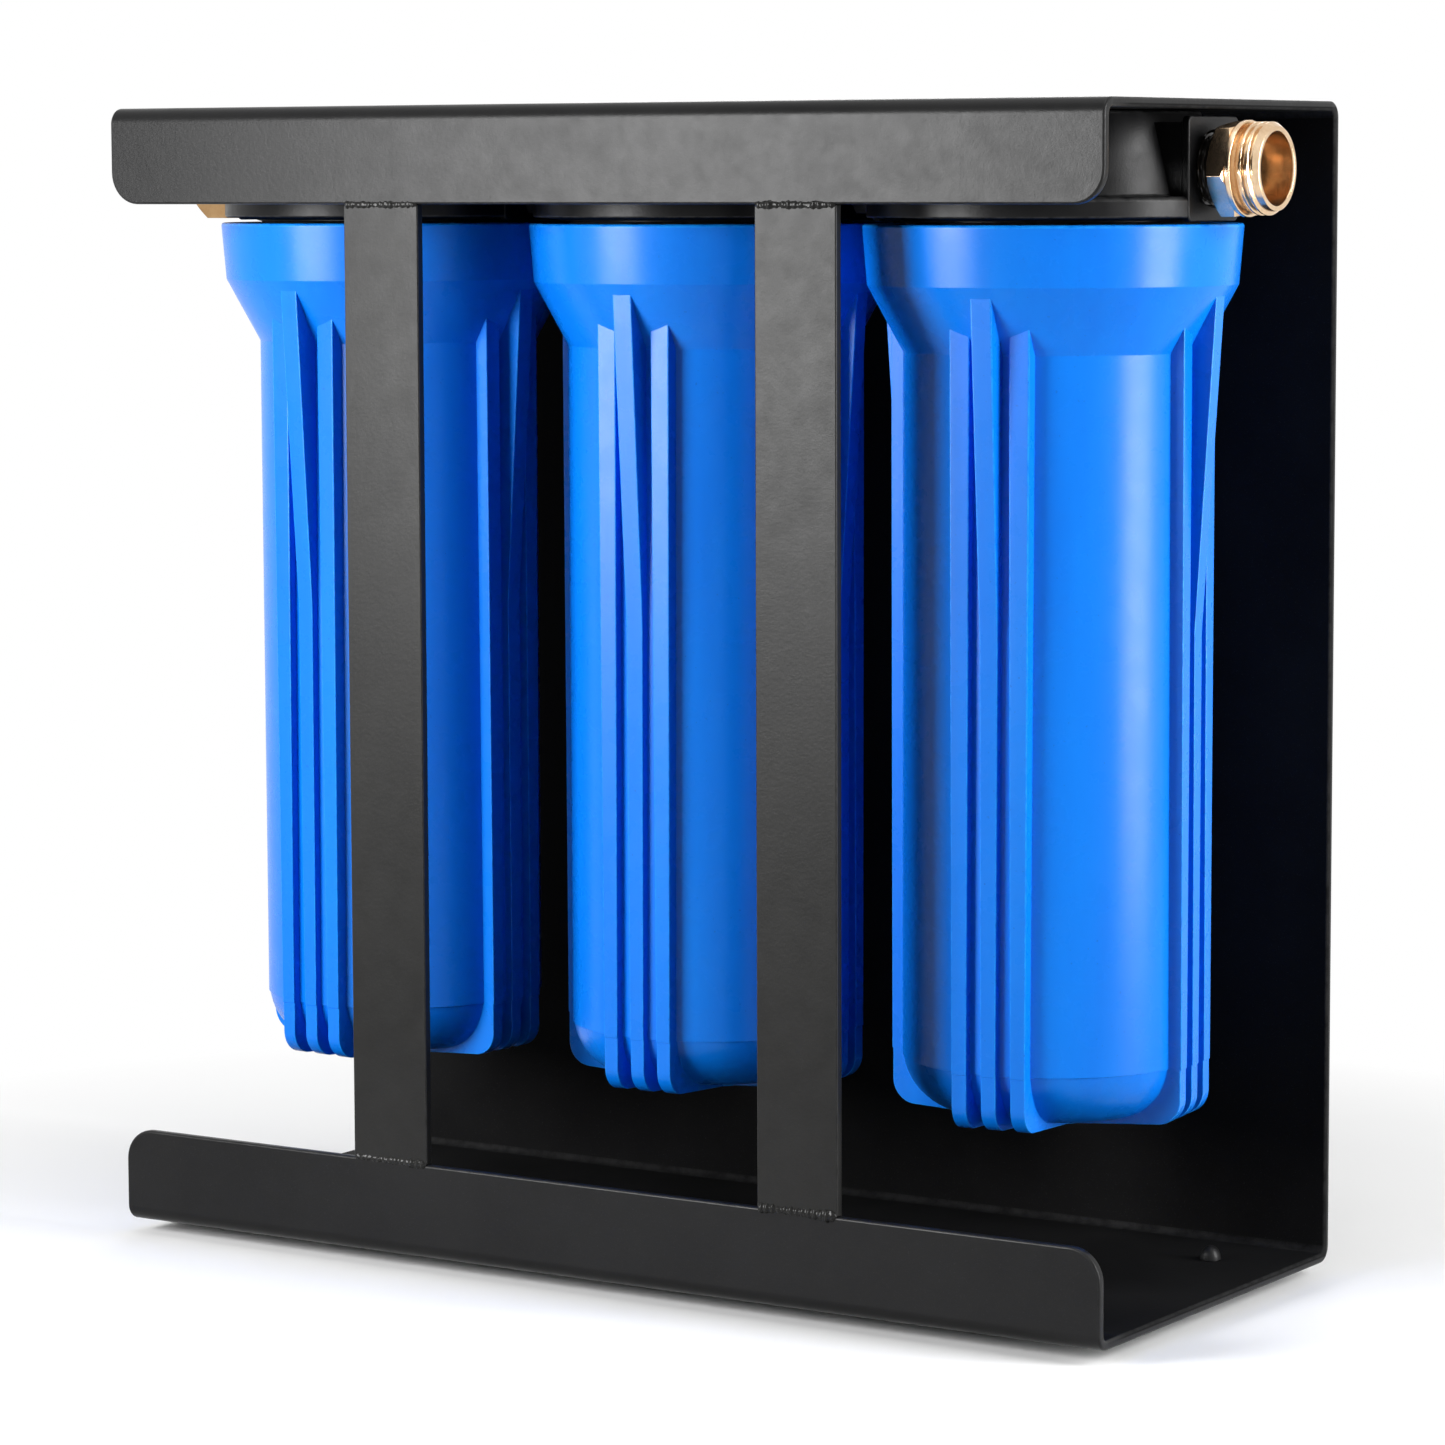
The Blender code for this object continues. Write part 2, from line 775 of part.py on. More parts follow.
def stepped_bore(name, radius, depth, top):
    # Wide from the top down to its depth, and the waterway from there on.
    profile = [
        (0, top + cut_overrun),
        (radius, top + cut_overrun),
        (radius, top - depth),
        (waterway_radius, top - depth),
        (waterway_radius, -cut_overrun),
        (0, -cut_overrun),
    ]
    return turned(name, profile, tube_steps)


def turned_hexagon(name, width, low, high, chamfer):
    # The corners are turned down to the flats' circle at both ends.
    flats = width / 2
    beyond = 2 * flats / math.cos(math.pi / 6) - flats
    profile = [
        (0, high),
        (flats, high),
        (beyond, high - 2 * chamfer),
        (beyond, low + 2 * chamfer),
        (flats, low),
        (0, low),
    ]
    lathe = turned("lathe", profile, tube_steps)
    return worked(name, hexagon(name, width, low, high), [("INTERSECT", lathe)])


outlet_hexagon_foot = pipe_thread_engaged + outlet_thread_shown
outlet_hexagon_top = outlet_hexagon_foot + outlet_hexagon_length
hose_thread_foot = outlet_hexagon_top + hose_neck_length
hose_thread_end = hose_thread_foot + (hose_thread_crests + crest_start_share) * hose_thread_pitch
fitting_length = hose_thread_end + hose_end_chamfer


def outlet_shape():
    # The thread's crests are rings; the last one is cut short by the end chamfer.
    profile = [
        (0, fitting_length),
        (hose_thread_radius - hose_end_chamfer, fitting_length),
        (hose_thread_radius, hose_thread_end),
    ]
    root = hose_thread_radius - hose_thread_depth
    for crest in reversed(range(hose_thread_crests)):
        foot = hose_thread_foot + crest * hose_thread_pitch
        profile += [
            (root, foot + hose_thread_pitch),
            (hose_thread_radius, foot + crest_end_share * hose_thread_pitch),
            (hose_thread_radius, foot + crest_start_share * hose_thread_pitch),
        ]
    middle = (outlet_hexagon_foot + outlet_hexagon_top) / 2
    profile += [(root, hose_thread_foot), (hose_neck_radius, hose_thread_foot), (hose_neck_radius, middle)]
    profile += pipe_thread(middle)
    nut = turned_hexagon(
        "outlet hexagon",
        outlet_hexagon_width,
        outlet_hexagon_foot,
        outlet_hexagon_top,
        outlet_hexagon_chamfer,
    )
    nut.transform(Matrix.Rotation(outlet_hexagon_tilt, 4, "Z"))
    bore = stepped_bore("outlet bore", hose_bore_radius, hose_bore_depth, fitting_length)
    body = turned("outlet body", profile, tube_steps)
    return worked("outlet", body, [("UNION", nut), ("DIFFERENCE", bore)])


def inlet_shape():
    # It reaches as far out of its port as the outlet does.
    hexagon_foot = pipe_thread_engaged + inlet_thread_shown
    middle = (hexagon_foot + fitting_length) / 2
    nut = turned_hexagon(
        "inlet hexagon", inlet_hexagon_width, hexagon_foot, fitting_length, inlet_hexagon_chamfer
    )
    body = turned("inlet body", [(0, middle)] + pipe_thread(middle), tube_steps)
    bore = stepped_bore("inlet bore", hose_socket_radius, hose_socket_depth, fitting_length)
    return worked("inlet", body, [("UNION", nut), ("DIFFERENCE", bore)])


def nipple_shape():
    length = stage_spacing - 2 * port_reach + 2 * pipe_thread_engaged
    middle = length / 2
    profile = [
        (0, length),
        (pipe_thread_radius - pipe_thread_chamfer, length),
        (pipe_thread_radius, length - pipe_thread_chamfer),
    ]
    profile += pipe_thread(middle)[1:]
    half = nipple_hexagon_length / 2
    nut = hexagon("nipple hexagon", nipple_hexagon_width, middle - half, middle + half)
    bore = rod("nipple bore", waterway_radius, -cut_overrun, length + cut_overrun, hidden_steps)
    body = turned("nipple body", profile, tube_steps)
    return worked("nipple", body, [("UNION", nut), ("DIFFERENCE", bore)])


fitting_reach = port_reach - pipe_thread_engaged
towards_right = (0, math.pi / 2, 0)
towards_left = (0, -math.pi / 2, 0)
outlet_foot = stage_places[-1] + fitting_reach
put("outlet_fitting", outlet_shape(), brass, (outlet_foot, 0, port_axis), towards_right)
inlet_foot = stage_places[0] - fitting_reach
put("inlet_fitting", inlet_shape(), dull_brass, (inlet_foot, 0, port_axis), towards_left)
washer_mesh = washer_shape(
    "washer", hose_socket_radius - hole_clearance, washer_bore_radius, washer_thickness
)
washer_x = inlet_foot - fitting_length + hose_socket_depth - seat_gap
put("inlet_washer", washer_mesh, red_rubber, (washer_x, 0, port_axis), towards_left)
nipple_mesh = nipple_shape()
for nipple_name, stage_x in (("nipple_left", stage_places[0]), ("nipple_right", stage_places[1])):
    put(nipple_name, nipple_mesh, black_plastic, (stage_x + fitting_reach, 0, port_axis), towards_right)
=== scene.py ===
import math

import bmesh
import bpy
from mathutils import Matrix, Vector, noise


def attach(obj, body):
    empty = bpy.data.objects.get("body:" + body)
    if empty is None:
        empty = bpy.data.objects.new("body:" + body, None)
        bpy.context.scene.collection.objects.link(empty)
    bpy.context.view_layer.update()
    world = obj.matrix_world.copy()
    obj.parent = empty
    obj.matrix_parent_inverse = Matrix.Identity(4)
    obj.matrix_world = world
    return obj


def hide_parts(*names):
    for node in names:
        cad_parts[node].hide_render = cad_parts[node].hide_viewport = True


# Looks for the trailer water filter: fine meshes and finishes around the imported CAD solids.
# Metres, +Z up, the front faces -Y, the outlet is at +X.

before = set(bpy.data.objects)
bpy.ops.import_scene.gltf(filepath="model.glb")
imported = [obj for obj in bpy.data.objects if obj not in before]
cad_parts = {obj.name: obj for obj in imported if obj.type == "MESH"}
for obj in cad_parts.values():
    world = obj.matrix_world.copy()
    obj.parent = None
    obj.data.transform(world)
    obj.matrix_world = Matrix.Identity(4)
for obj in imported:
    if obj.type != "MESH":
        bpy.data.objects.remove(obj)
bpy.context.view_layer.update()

sharpAngle = math.radians(35)
tiny = 1e-6
over = 0.003  # how far a cutting shape runs past what it cuts

stages = {
    "names": ("left", "middle", "right"),
    "spacing": 0.1205,
    "capTop": 0.3570,
    "sumpFoot": 0.0562,
    "turns": (-4.0, 2.2, 6.2),  # degrees, how far each sump happened to be screwed up
}
stageX = {name: (i - 1) * stages["spacing"] for i, name in enumerate(stages["names"])}


# Mesh helpers

def toMesh(work, name="shape"):
    mesh = bpy.data.meshes.new(name)
    work.to_mesh(mesh)
    work.free()
    return mesh


def softShaded(mesh, angle=sharpAngle):
    mesh.shade_smooth()
    mesh.set_sharp_from_angle(angle=angle)
    return mesh


def arcPoints(x, y, radius, start, end, steps):
    angles = [math.radians(start + (end - start) * i / steps) for i in range(steps + 1)]
    return [(x + radius * math.cos(a), y + radius * math.sin(a)) for a in angles]


def eased(corners, steps=4, closed=False):
    # Corners are (x, y) or (x, y, radius); those with a radius become short arcs.
    points = []
    for i, corner in enumerate(corners):
        here = Vector(corner[:2])
        if len(corner) < 3 or (not closed and i in (0, len(corners) - 1)):
            points.append(tuple(here))
            continue
        back = Vector(corners[i - 1][:2]) - here
        ahead = Vector(corners[(i + 1) % len(corners)][:2]) - here
        half = back.angle(ahead) / 2
        reach = min(corner[2] / math.tan(half), back.length, ahead.length)
        middle = here + (back.normalized() + ahead.normalized()).normalized() * reach / math.cos(half)
        first = here + back.normalized() * reach - middle
        last = here + ahead.normalized() * reach - middle
        sweep = first.angle_signed(last)
        for step in range(steps + 1):
            spoke = first.copy()
            spoke.rotate(Matrix.Rotation(-sweep * step / steps, 2))
            points.append(tuple(middle + spoke))
    return points


def rectangle(x, y, *radius):
    # Corners about the middle, each with its radius if one is given.
    return [(i * x, j * y, *radius) for i, j in ((1, 1), (-1, 1), (-1, -1), (1, -1))]


def threadWave(share):
    # Height of a rounded thread across one pitch, 1 on the crest and 0 in the root.
    rootFrom, flank = 0.72, 0.46  # shares of half a pitch
    share %= 1
    up = min(share, 1 - share) * 2
    return min(1, max(0, (rootFrom - up) / flank))


def lathe(profile, steps=96, threads=()):
    # Turns (radius, height) points about Z; a profile that ends where it starts makes a ring.
    # A thread is (low, high, radius, depth, pitch): points at that radius follow a helix,
    # which fades in and out over half a pitch.
    work = bmesh.new()
    closed = profile[0] == profile[-1]
    rings = []
    for radius, height in profile[:-1] if closed else profile:
        if radius < tiny:
            rings.append([work.verts.new((0, 0, height))] * steps)
            continue
        ring = []
        for i in range(steps):
            share = i / steps
            reach = radius
            for low, high, nominal, depth, pitch in threads:
                if abs(radius - nominal) < tiny and low < height < high:
                    fade = min(1, (height - low) / pitch * 2, (high - height) / pitch * 2)
                    fade = fade * fade * (3 - 2 * fade)
                    reach -= depth * (1 - threadWave((height - low) / pitch - share) * fade)
            angle = math.tau * share
            ring.append(work.verts.new((reach * math.cos(angle), reach * math.sin(angle), height)))
        rings.append(ring)
    if closed:
        rings.append(rings[0])
    for upper, lower in zip(rings, rings[1:]):
        for i in range(steps):
            j = (i + 1) % steps
            corners = list(dict.fromkeys((upper[i], upper[j], lower[j], lower[i])))
            if len(corners) > 2:
                work.faces.new(corners)
    bmesh.ops.recalc_face_normals(work, faces=work.faces)
    return softShaded(toMesh(work, "turned"))


def threaded(radius, high, low, pitch, perPitch, depth):
    # The rows of points down a thread, and the thread itself as lathe takes it.
    count = math.ceil((high - low) / pitch * perPitch)
    rows = [(radius, high + (low - high) * i / count) for i in range(count + 1)]
    return rows, (rows[-1][1], high, radius, depth, pitch)


def drill(radius, high, low, steps):
    return lathe([(0, high), (radius, high), (radius, low), (0, low)], steps)


def slab(outline, thickness, edge=0, rounds=3):
    # Closed outline in X and Y, its thickness centred on Z = 0, its rims rounded.
    work = bmesh.new()
    low = [work.verts.new((x, y, -thickness / 2)) for x, y in outline]
    high = [work.verts.new((x, y, thickness / 2)) for x, y in outline]
    work.faces.new(list(reversed(low)))
    work.faces.new(high)
    for i in range(len(outline)):
        j = (i + 1) % len(outline)
        work.faces.new((low[i], low[j], high[j], high[i]))
    bmesh.ops.recalc_face_normals(work, faces=work.faces)
    if edge:
        rims = [e for e in work.edges if abs(e.verts[0].co.z - e.verts[1].co.z) < tiny]
        bmesh.ops.bevel(work, geom=rims, offset=edge, segments=rounds, profile=0.5, affect="EDGES")
    return softShaded(toMesh(work, "slab"))


def moved(mesh, matrix):
    copy = mesh.copy()
    copy.transform(matrix)
    return copy


def merged(meshes):
    work = bmesh.new()
    for mesh in meshes:
        work.from_mesh(mesh)
    return toMesh(work, "merged")


def evaluated(thing, angle=sharpAngle):
    bpy.context.view_layer.update()
    solid = bpy.data.meshes.new_from_object(thing.evaluated_get(bpy.context.evaluated_depsgraph_get()))
    bpy.data.objects.remove(thing, do_unlink=True)
    work = bmesh.new()
    work.from_mesh(solid)
    bmesh.ops.remove_doubles(work, verts=work.verts, dist=tiny)
    bmesh.ops.dissolve_degenerate(work, edges=work.edges, dist=tiny)
    return softShaded(toMesh(work, "cut"), angle)


def loose(mesh, name="helper"):
    thing = bpy.data.objects.new(name, mesh)
    bpy.context.scene.collection.objects.link(thing)
    return thing


def carved(mesh, steps, angle=sharpAngle):
    # The mesh after (operation, other mesh) steps.
    thing = loose(mesh)
    others = []
    for operation, other in steps:
        others.append(loose(other))
        step = thing.modifiers.new(operation.lower(), "BOOLEAN")
        step.operation = operation
        step.object = others[-1]
        step.solver = "EXACT"
    result = evaluated(thing, angle)
    for other in others:
        bpy.data.objects.remove(other, do_unlink=True)
    return result


def markEdges(mesh, narrow=0.0006, leastTurn=math.radians(8)):
    # Flags the narrow faces that round an edge off; the finishes paint these paler, partly as wear and
    # partly as a painted edge highlight.
    work = bmesh.new()
    work.from_mesh(mesh)
    flags = []
    for face in work.faces:
        longest = max(e.calc_length() for e in face.edges)
        turn = max((e.calc_face_angle(0) for e in face.edges), default=0)
        rounding = face.calc_area() < narrow * longest and turn > leastTurn
        flags.append(1.0 if rounding else 0.0)
    work.free()
    edgeWearAndHighlight = mesh.attributes.get("roundedEdge") or mesh.attributes.new("roundedEdge", "FLOAT", "FACE")
    edgeWearAndHighlight.data.foreach_set("value", flags)
    return mesh


def onX(sign):
    return Matrix.Rotation(sign * math.pi / 2, 4, "Y")  # lays an upright shape down towards +X or -X


def place(x=0, y=0, z=0):
    return Matrix.Translation((x, y, z))


def fit(name, node, mesh, finish, at=(0, 0, 0), turn=(0, 0, 0), body="stand"):
    # A finished piece of the object: it rides on its body and stands for its CAD node.
    thing = loose(mesh, name)
    thing.location = at
    thing.rotation_euler = turn
    if not mesh.materials:
        mesh.materials.append(finish)
    flatFaces = thing.modifiers.new("keep flats flat", "WEIGHTED_NORMAL")
    flatFaces.keep_sharp = True
    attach(thing, body)
    if node:
        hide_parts(node)


# Material helpers; a grain is (scale, detail) or (scale, detail, roughness) of its noise

class Finish:
    # A Principled material and short ways to add nodes to it.
    def __init__(self, name, **sockets):
        self.material = bpy.data.materials.new(name)
        self.material.use_nodes = True
        self.tree = self.material.node_tree
        self.shader = self.tree.nodes["Principled BSDF"]
        for socket, value in sockets.items():
            self.shader.inputs[socket.replace("_", " ")].default_value = value
        self.where = self.tree.nodes.new("ShaderNodeTexCoord").outputs["Object"]
        self.normal = None

    def add(self, kind, links=None, **settings):
        node = self.tree.nodes.new(kind)
        for key, value in settings.items():
            setattr(node, key, value)
        for socket, value in (links or {}).items():
            self.feed(node.inputs[socket], value)
        return node

    def feed(self, socket, value):
        if isinstance(value, bpy.types.NodeSocket):
            self.tree.links.new(value, socket)
        else:
            socket.default_value = value

    def stretched(self, x, y, z):
        return self.add("ShaderNodeMapping", {"Vector": self.where, "Scale": (x, y, z)}).outputs[0]

    def grain(self, scale, detail=2, rough=0.5, where=None):
        links = {"Vector": where or self.where, "Scale": scale, "Detail": detail, "Roughness": rough}
        return self.add("ShaderNodeTexNoise", links).outputs["Fac"]

    def spread(self, value, low, high, fromLow=0.3, fromHigh=0.7):
        links = {"Value": value, "From Min": fromLow, "From Max": fromHigh, "To Min": low, "To Max": high}
        return self.add("ShaderNodeMapRange", links).outputs[0]

    def uneven(self, grain, low=0, high=1, *fromRange):
        return self.spread(self.grain(*grain), low, high, *fromRange)

    def blend(self, share, first, second):
        colours = [(*c, 1) if isinstance(c, tuple) else c for c in (first, second)]
        links = {0: share, 6: colours[0], 7: colours[1]}
        return self.add("ShaderNodeMix", links, data_type="RGBA").outputs[2]

    def times(self, first, second, operation="MULTIPLY"):
        return self.add("ShaderNodeMath", {0: first, 1: second}, operation=operation).outputs[0]

    def relief(self, height, depth, strength):
        links = {"Height": height, "Distance": depth, "Strength": strength}
        if self.normal:
            links["Normal"] = self.normal
        self.normal = self.add("ShaderNodeBump", links).outputs[0]

    def reliefs(self, layers):
        for grain, depth, strength in layers:
            self.relief(self.grain(*grain), depth, strength)

    def edgeWearAndHighlight(self, amount, grain=(260, 4, 0.7), fromLow=0.35, fromHigh=0.6):
        # The rounded edges, broken up so that the paler edge is uneven: partly wear, partly a painted edge
        # highlight.
        edge = self.add("ShaderNodeAttribute", attribute_name="roundedEdge").outputs["Fac"]
        return self.times(edge, self.uneven(grain, 0, amount, fromLow, fromHigh))

    def done(self, colour, roughness):
        for socket, value in (("Base Color", colour), ("Roughness", roughness), ("Normal", self.normal)):
            if value:
                self.feed(self.shader.inputs[socket], value)
        return self.material


# Stand: one bent sheet with its countersinks, and the two welded bars

stand = {
    "width": 0.356,
    "depth": 0.148,
    "foot": 0.0043,
    "top": 0.3603,
    "sheet": 0.003,
    "bend": 0.005,
    "bendSteps": 12,
    "flange": 0.030,
    "flangeCorner": 0.010,
    "cornerSteps": 10,
    "edge": 0.0008,
    "edgeRounds": 3,
    "coat": (0.0035, 0.0035, 0.0037),
    "coatPale": (0.0070, 0.0070, 0.0072),
    # pale specks and rounded edges; on the edges partly wear, partly a painted edge highlight
    "coatSpeckWearAndSheen": (0.05, 0.05, 0.05),
    "coatRoughness": (0.29, 0.37),
    "coatShine": 0.17,
    "coatShineInside": 0.05,
    "coatRoughInside": 0.7,
    "dullFrom": 0.004,  # behind the front
    "dullTo": 0.016,
    "dullFade": 0.0004,
    "sinkSteps": 32,
    "holeSteps": 24,
}
powder = {
    "clouds": (22, 5, 0.6),
    "edgeWearAndHighlight": 0.22,
    "specks": ((2600, 1), 0, 1, 0.66, 0.78),
    "speckShare": 0.25,
    "reliefs": (
        ((620, 2, 0.5), 0.00010, 0.34),  # orange peel
        ((1700, 3, 0.6), 0.00004, 0.60),  # grain of the powder
        ((9, 1, 0.4), 0.0012, 0.05),  # the sheet isn't quite flat
    ),
    "shine": (140, 4, 0.65),
}
bars = {
    "width": 0.028,
    "thickness": 0.003,
    "offset": 0.0745,
    "toRight": 0.0020,
    "gap": 0.0003,
    "edge": 0.0005,
    "edgeRounds": 2,
    "coat": (0.0075, 0.0074, 0.0070),
    "coatPale": (0.0130, 0.0128, 0.0120),
    "coatRoughness": (0.31, 0.39),
}
welds = {
    "height": 0.0011,
    "depth": 0.0008,
    "ripple": 0.0021,
    "rippleShare": 0.10,
    "wobble": 0.55,
    "wobbleScale": 240,
    "lumps": 0.25,
    "lumpScale": 900,
    "endSlope": 14,
    "endSize": 0.02,
    "shorter": 0.0006,  # than the bar is wide
    "sunk": 0.0003,
    "big": 1.5,  # the lower bead of the right bar
    "roughness": (0.15, 0.24),
    "steps": 150,
    "around": 12,
}
screws = {
    "offset": 0.013,
    "head": 0.0044,
    "headHeight": 0.0024,
    "shank": 0.0020,
    "length": 0.0130,
    "tip": 0.0020,
    "gap": 0.0004,
    "threadGap": 0.0006,
    "thread": (0.0007, 8, 0.0003),  # of every thread: pitch, rows in a pitch, depth
    "headEdge": ((-0.0003, 0), (0, -0.0002), (0, -0.0004)),
    "tipRadius": 0.0004,
    "recess": ((0.00192, 0.001), (0.000768, -0.0014)),  # ends of its sloping side
    "recessWidth": 0.00075,
    "holeSpare": 0.0007,
    "turnStep": 0.7,
    "turnDrift": 9,
    "steps": 32,
    "holeSteps": 16,
}
feet = {
    "x": 0.153,
    "y": 0.043,
    "height": 0.004,
    "radius": 0.008,
    "stem": 0.0025,
    "bulb": 0.0033,
    "bulbHeight": 0.0043,
    "bulbFrom": 84,  # degrees, where the dome leaves its tip
    "gap": 0.0004,
    "seat": 0.0003,
    "footShare": 0.96,
    "hollowShares": (0.6, 0.55),
    "hollow": 0.0006,
    "steps": 40,
}
front = -stand["depth"] / 2
back = stand["depth"] / 2
screwSpots = [(x * screws["offset"], y * screws["offset"]) for x in (-1, 1) for y in (-1, 1)]
footSpots = [(x * feet["x"], y * feet["y"]) for x in (-1, 1) for y in (-1, 1)]


def insideShare(coat):
    # Inside the bent sheet the powder lies thinner, so the coat is duller there.
    spot = coat.add("ShaderNodeSeparateXYZ", {0: coat.where}).outputs
    half, fade = stand["sheet"] / 2, stand["dullFade"]
    low, high = stand["foot"] + half, stand["top"] - half
    dull = coat.spread(spot["Y"], 0, 1, front + stand["dullFrom"], front + stand["dullTo"])
    dull = coat.times(dull, coat.spread(spot["Y"], 1, 0, back - half - fade, back - half))
    dull = coat.times(dull, coat.spread(spot["Z"], 0, 1, low, low + fade))
    return coat.times(dull, coat.spread(spot["Z"], 1, 0, high - fade, high))


def powderCoat(name, dark, pale, roughness, bent=False):
    coat = Finish(name, Specular_IOR_Level=stand["coatShine"])
    colour = coat.blend(coat.uneven(powder["clouds"]), dark, pale)
    # rounded edges painted paler: partly wear, partly a painted edge highlight
    colour = coat.blend(coat.edgeWearAndHighlight(powder["edgeWearAndHighlight"]), colour, stand["coatSpeckWearAndSheen"])
    specks = coat.uneven(*powder["specks"])
    colour = coat.blend(coat.times(specks, powder["speckShare"]), colour, stand["coatSpeckWearAndSheen"])
    coat.reliefs(powder["reliefs"])
    rough = coat.uneven(powder["shine"], *roughness)
    if bent:
        dull = insideShare(coat)
        shine = coat.spread(dull, stand["coatShine"], stand["coatShineInside"], 0, 1)
        coat.tree.links.new(shine, coat.shader.inputs["Specular IOR Level"])
        rough = coat.times(rough, coat.spread(dull, 0, stand["coatRoughInside"], 0, 1), "MAXIMUM")
    return coat.done(colour, rough)


def bentSheet():
    # The outer skin, swept across the width, thickened inwards and rounded along its rims.
    low = stand["foot"] + stand["bend"]
    high = stand["top"] - stand["bend"]
    bend, steps = stand["bend"], stand["bendSteps"]
    path = [(front, stand["foot"] + stand["flange"])]
    path += arcPoints(front + bend, low, bend, 180, 270, steps)
    path += arcPoints(back - bend, low, bend, 270, 360, steps)
    path += arcPoints(back - bend, high, bend, 0, 90, steps)
    path += arcPoints(front + bend, high, bend, 90, 180, steps)
    path.append((front, stand["top"] - stand["flange"]))
    skin = bmesh.new()
    half = stand["width"] / 2
    near = [skin.verts.new((-half, y, z)) for y, z in path]
    far = [skin.verts.new((half, y, z)) for y, z in path]
    for i in range(len(path) - 1):
        skin.faces.new((near[i], near[i + 1], far[i + 1], far[i]))
    corners = [near[0], near[-1], far[0], far[-1]]
    bevel = {"offset": stand["flangeCorner"], "segments": stand["cornerSteps"], "profile": 0.5}
    bmesh.ops.bevel(skin, geom=corners, affect="VERTICES", **bevel)
    bmesh.ops.recalc_face_normals(skin, faces=skin.faces)
    lowest = min(skin.faces, key=lambda face: face.calc_center_median().z)
    if lowest.normal.z > 0:
        bmesh.ops.reverse_faces(skin, faces=skin.faces)
    thing = loose(toMesh(skin, "skin"))
    thicken = thing.modifiers.new("sheet", "SOLIDIFY")
    thicken.thickness = stand["sheet"]
    thicken.offset = -1
    thicken.use_even_offset = True
    rims = thing.modifiers.new("rims", "BEVEL")
    rims.width = stand["edge"]
    rims.segments = stand["edgeRounds"]
    rims.limit_method = "ANGLE"
    rims.angle_limit = sharpAngle
    return evaluated(thing)


def standMesh():
    sinkRadius = screws["head"] + screws["gap"]
    holeRadius = screws["shank"] + screws["gap"]
    depth = stand["sheet"] + over
    profile = [(0, over), (sinkRadius + over, over), (sinkRadius, 0)]
    profile += [(holeRadius, -screws["headHeight"]), (holeRadius, -depth), (0, -depth)]
    sink = lathe(profile, stand["sinkSteps"])
    stemHole = feet["stem"] + feet["gap"]
    hole = drill(stemHole, depth, -over, stand["holeSteps"])
    cuts = [moved(hole, place(x, y, stand["foot"])) for x, y in footSpots]
    for x in stageX.values():
        cuts += [moved(sink, place(x + dx, dy, stand["top"])) for dx, dy in screwSpots]
    return markEdges(carved(bentSheet(), [("DIFFERENCE", merged(cuts))]))


def weldBead(length, seed, bulge=1.0):
    # A bead along X with the ripples that the torch leaves.
    work = bmesh.new()
    rings = []
    for i in range(welds["steps"] + 1):
        share = i / welds["steps"]
        x = (share - 0.5) * length
        end = min(1, share * welds["endSlope"], (1 - share) * welds["endSlope"])
        wave = 1 + welds["rippleShare"] * math.cos(math.tau * x / welds["ripple"])
        wave += welds["wobble"] * noise.noise((x * welds["wobbleScale"], seed, 0))
        size = bulge * wave * math.sqrt(max(end * (2 - end), welds["endSize"]))
        ring = []
        for k in range(welds["around"]):
            angle = math.tau * k / welds["around"]
            spot = (x * welds["lumpScale"], seed + math.cos(angle), math.sin(angle))
            lump = 1 + welds["lumps"] * noise.noise(spot)
            y = welds["depth"] * size * lump * math.cos(angle)
            z = welds["height"] * size * lump * math.sin(angle)
            ring.append(work.verts.new((x, y, z)))
        rings.append(ring)
    for one, two in zip(rings, rings[1:]):
        for k in range(welds["around"]):
            m = (k + 1) % welds["around"]
            work.faces.new((one[k], two[k], two[m], one[m]))
    work.faces.new(rings[0])
    work.faces.new(list(reversed(rings[-1])))
    bmesh.ops.recalc_face_normals(work, faces=work.faces)
    return softShaded(toMesh(work, "bead"))


standCoat = powderCoat("standCoat", stand["coat"], stand["coatPale"], stand["coatRoughness"], True)
barCoat = powderCoat("barCoat", bars["coat"], bars["coatPale"], bars["coatRoughness"])
weldCoat = powderCoat("weldCoat", bars["coat"], bars["coatPale"], welds["roughness"])
fit("standSheet", "stand", standMesh(), standCoat)

barLow = stand["foot"] + stand["flange"] + bars["gap"]
barHigh = stand["top"] - stand["flange"] - bars["gap"]
barMiddle = (barLow + barHigh) / 2
barOutline = rectangle(bars["width"] / 2, (barHigh - barLow) / 2)
barFlat = slab(barOutline, bars["thickness"], bars["edge"], bars["edgeRounds"])
barMesh = markEdges(moved(barFlat, Matrix.Rotation(math.pi / 2, 4, "X")))
beadLevels = (barLow - bars["gap"] / 2, barHigh + bars["gap"] / 2)
for side, sign in (("left", -1), ("right", 1)):
    x = sign * bars["offset"] + bars["toRight"]
    node, at = "bar_" + side, (x, front + bars["thickness"] / 2, barMiddle)
    fit(node + "_flat", node, barMesh, barCoat, at)
    beads = []
    for i, level in enumerate(beadLevels):
        bulge = welds["big"] if (side, i) == ("right", 0) else 1.0
        for y in (front + welds["sunk"], front + bars["thickness"]):
            seed = sign * 3 + i + y * 90
            bead = weldBead(bars["width"] - welds["shorter"], seed, bulge)
            beads.append(moved(bead, place(x, y, level)))
    fit("welds_" + side, "", merged(beads), weldCoat)
print("stand and bars done")


# Feet and screws

def rubber(name, colour, roughness):
    skin = Finish(name, Specular_IOR_Level=0.2)
    tone = skin.blend(skin.uneven((90, 4)), colour, tuple(c * 1.7 for c in colour))
    skin.relief(skin.grain(1800, 3), 0.00004, 0.5)
    return skin.done(tone, skin.uneven((400, 3), roughness - 0.08, roughness + 0.08))


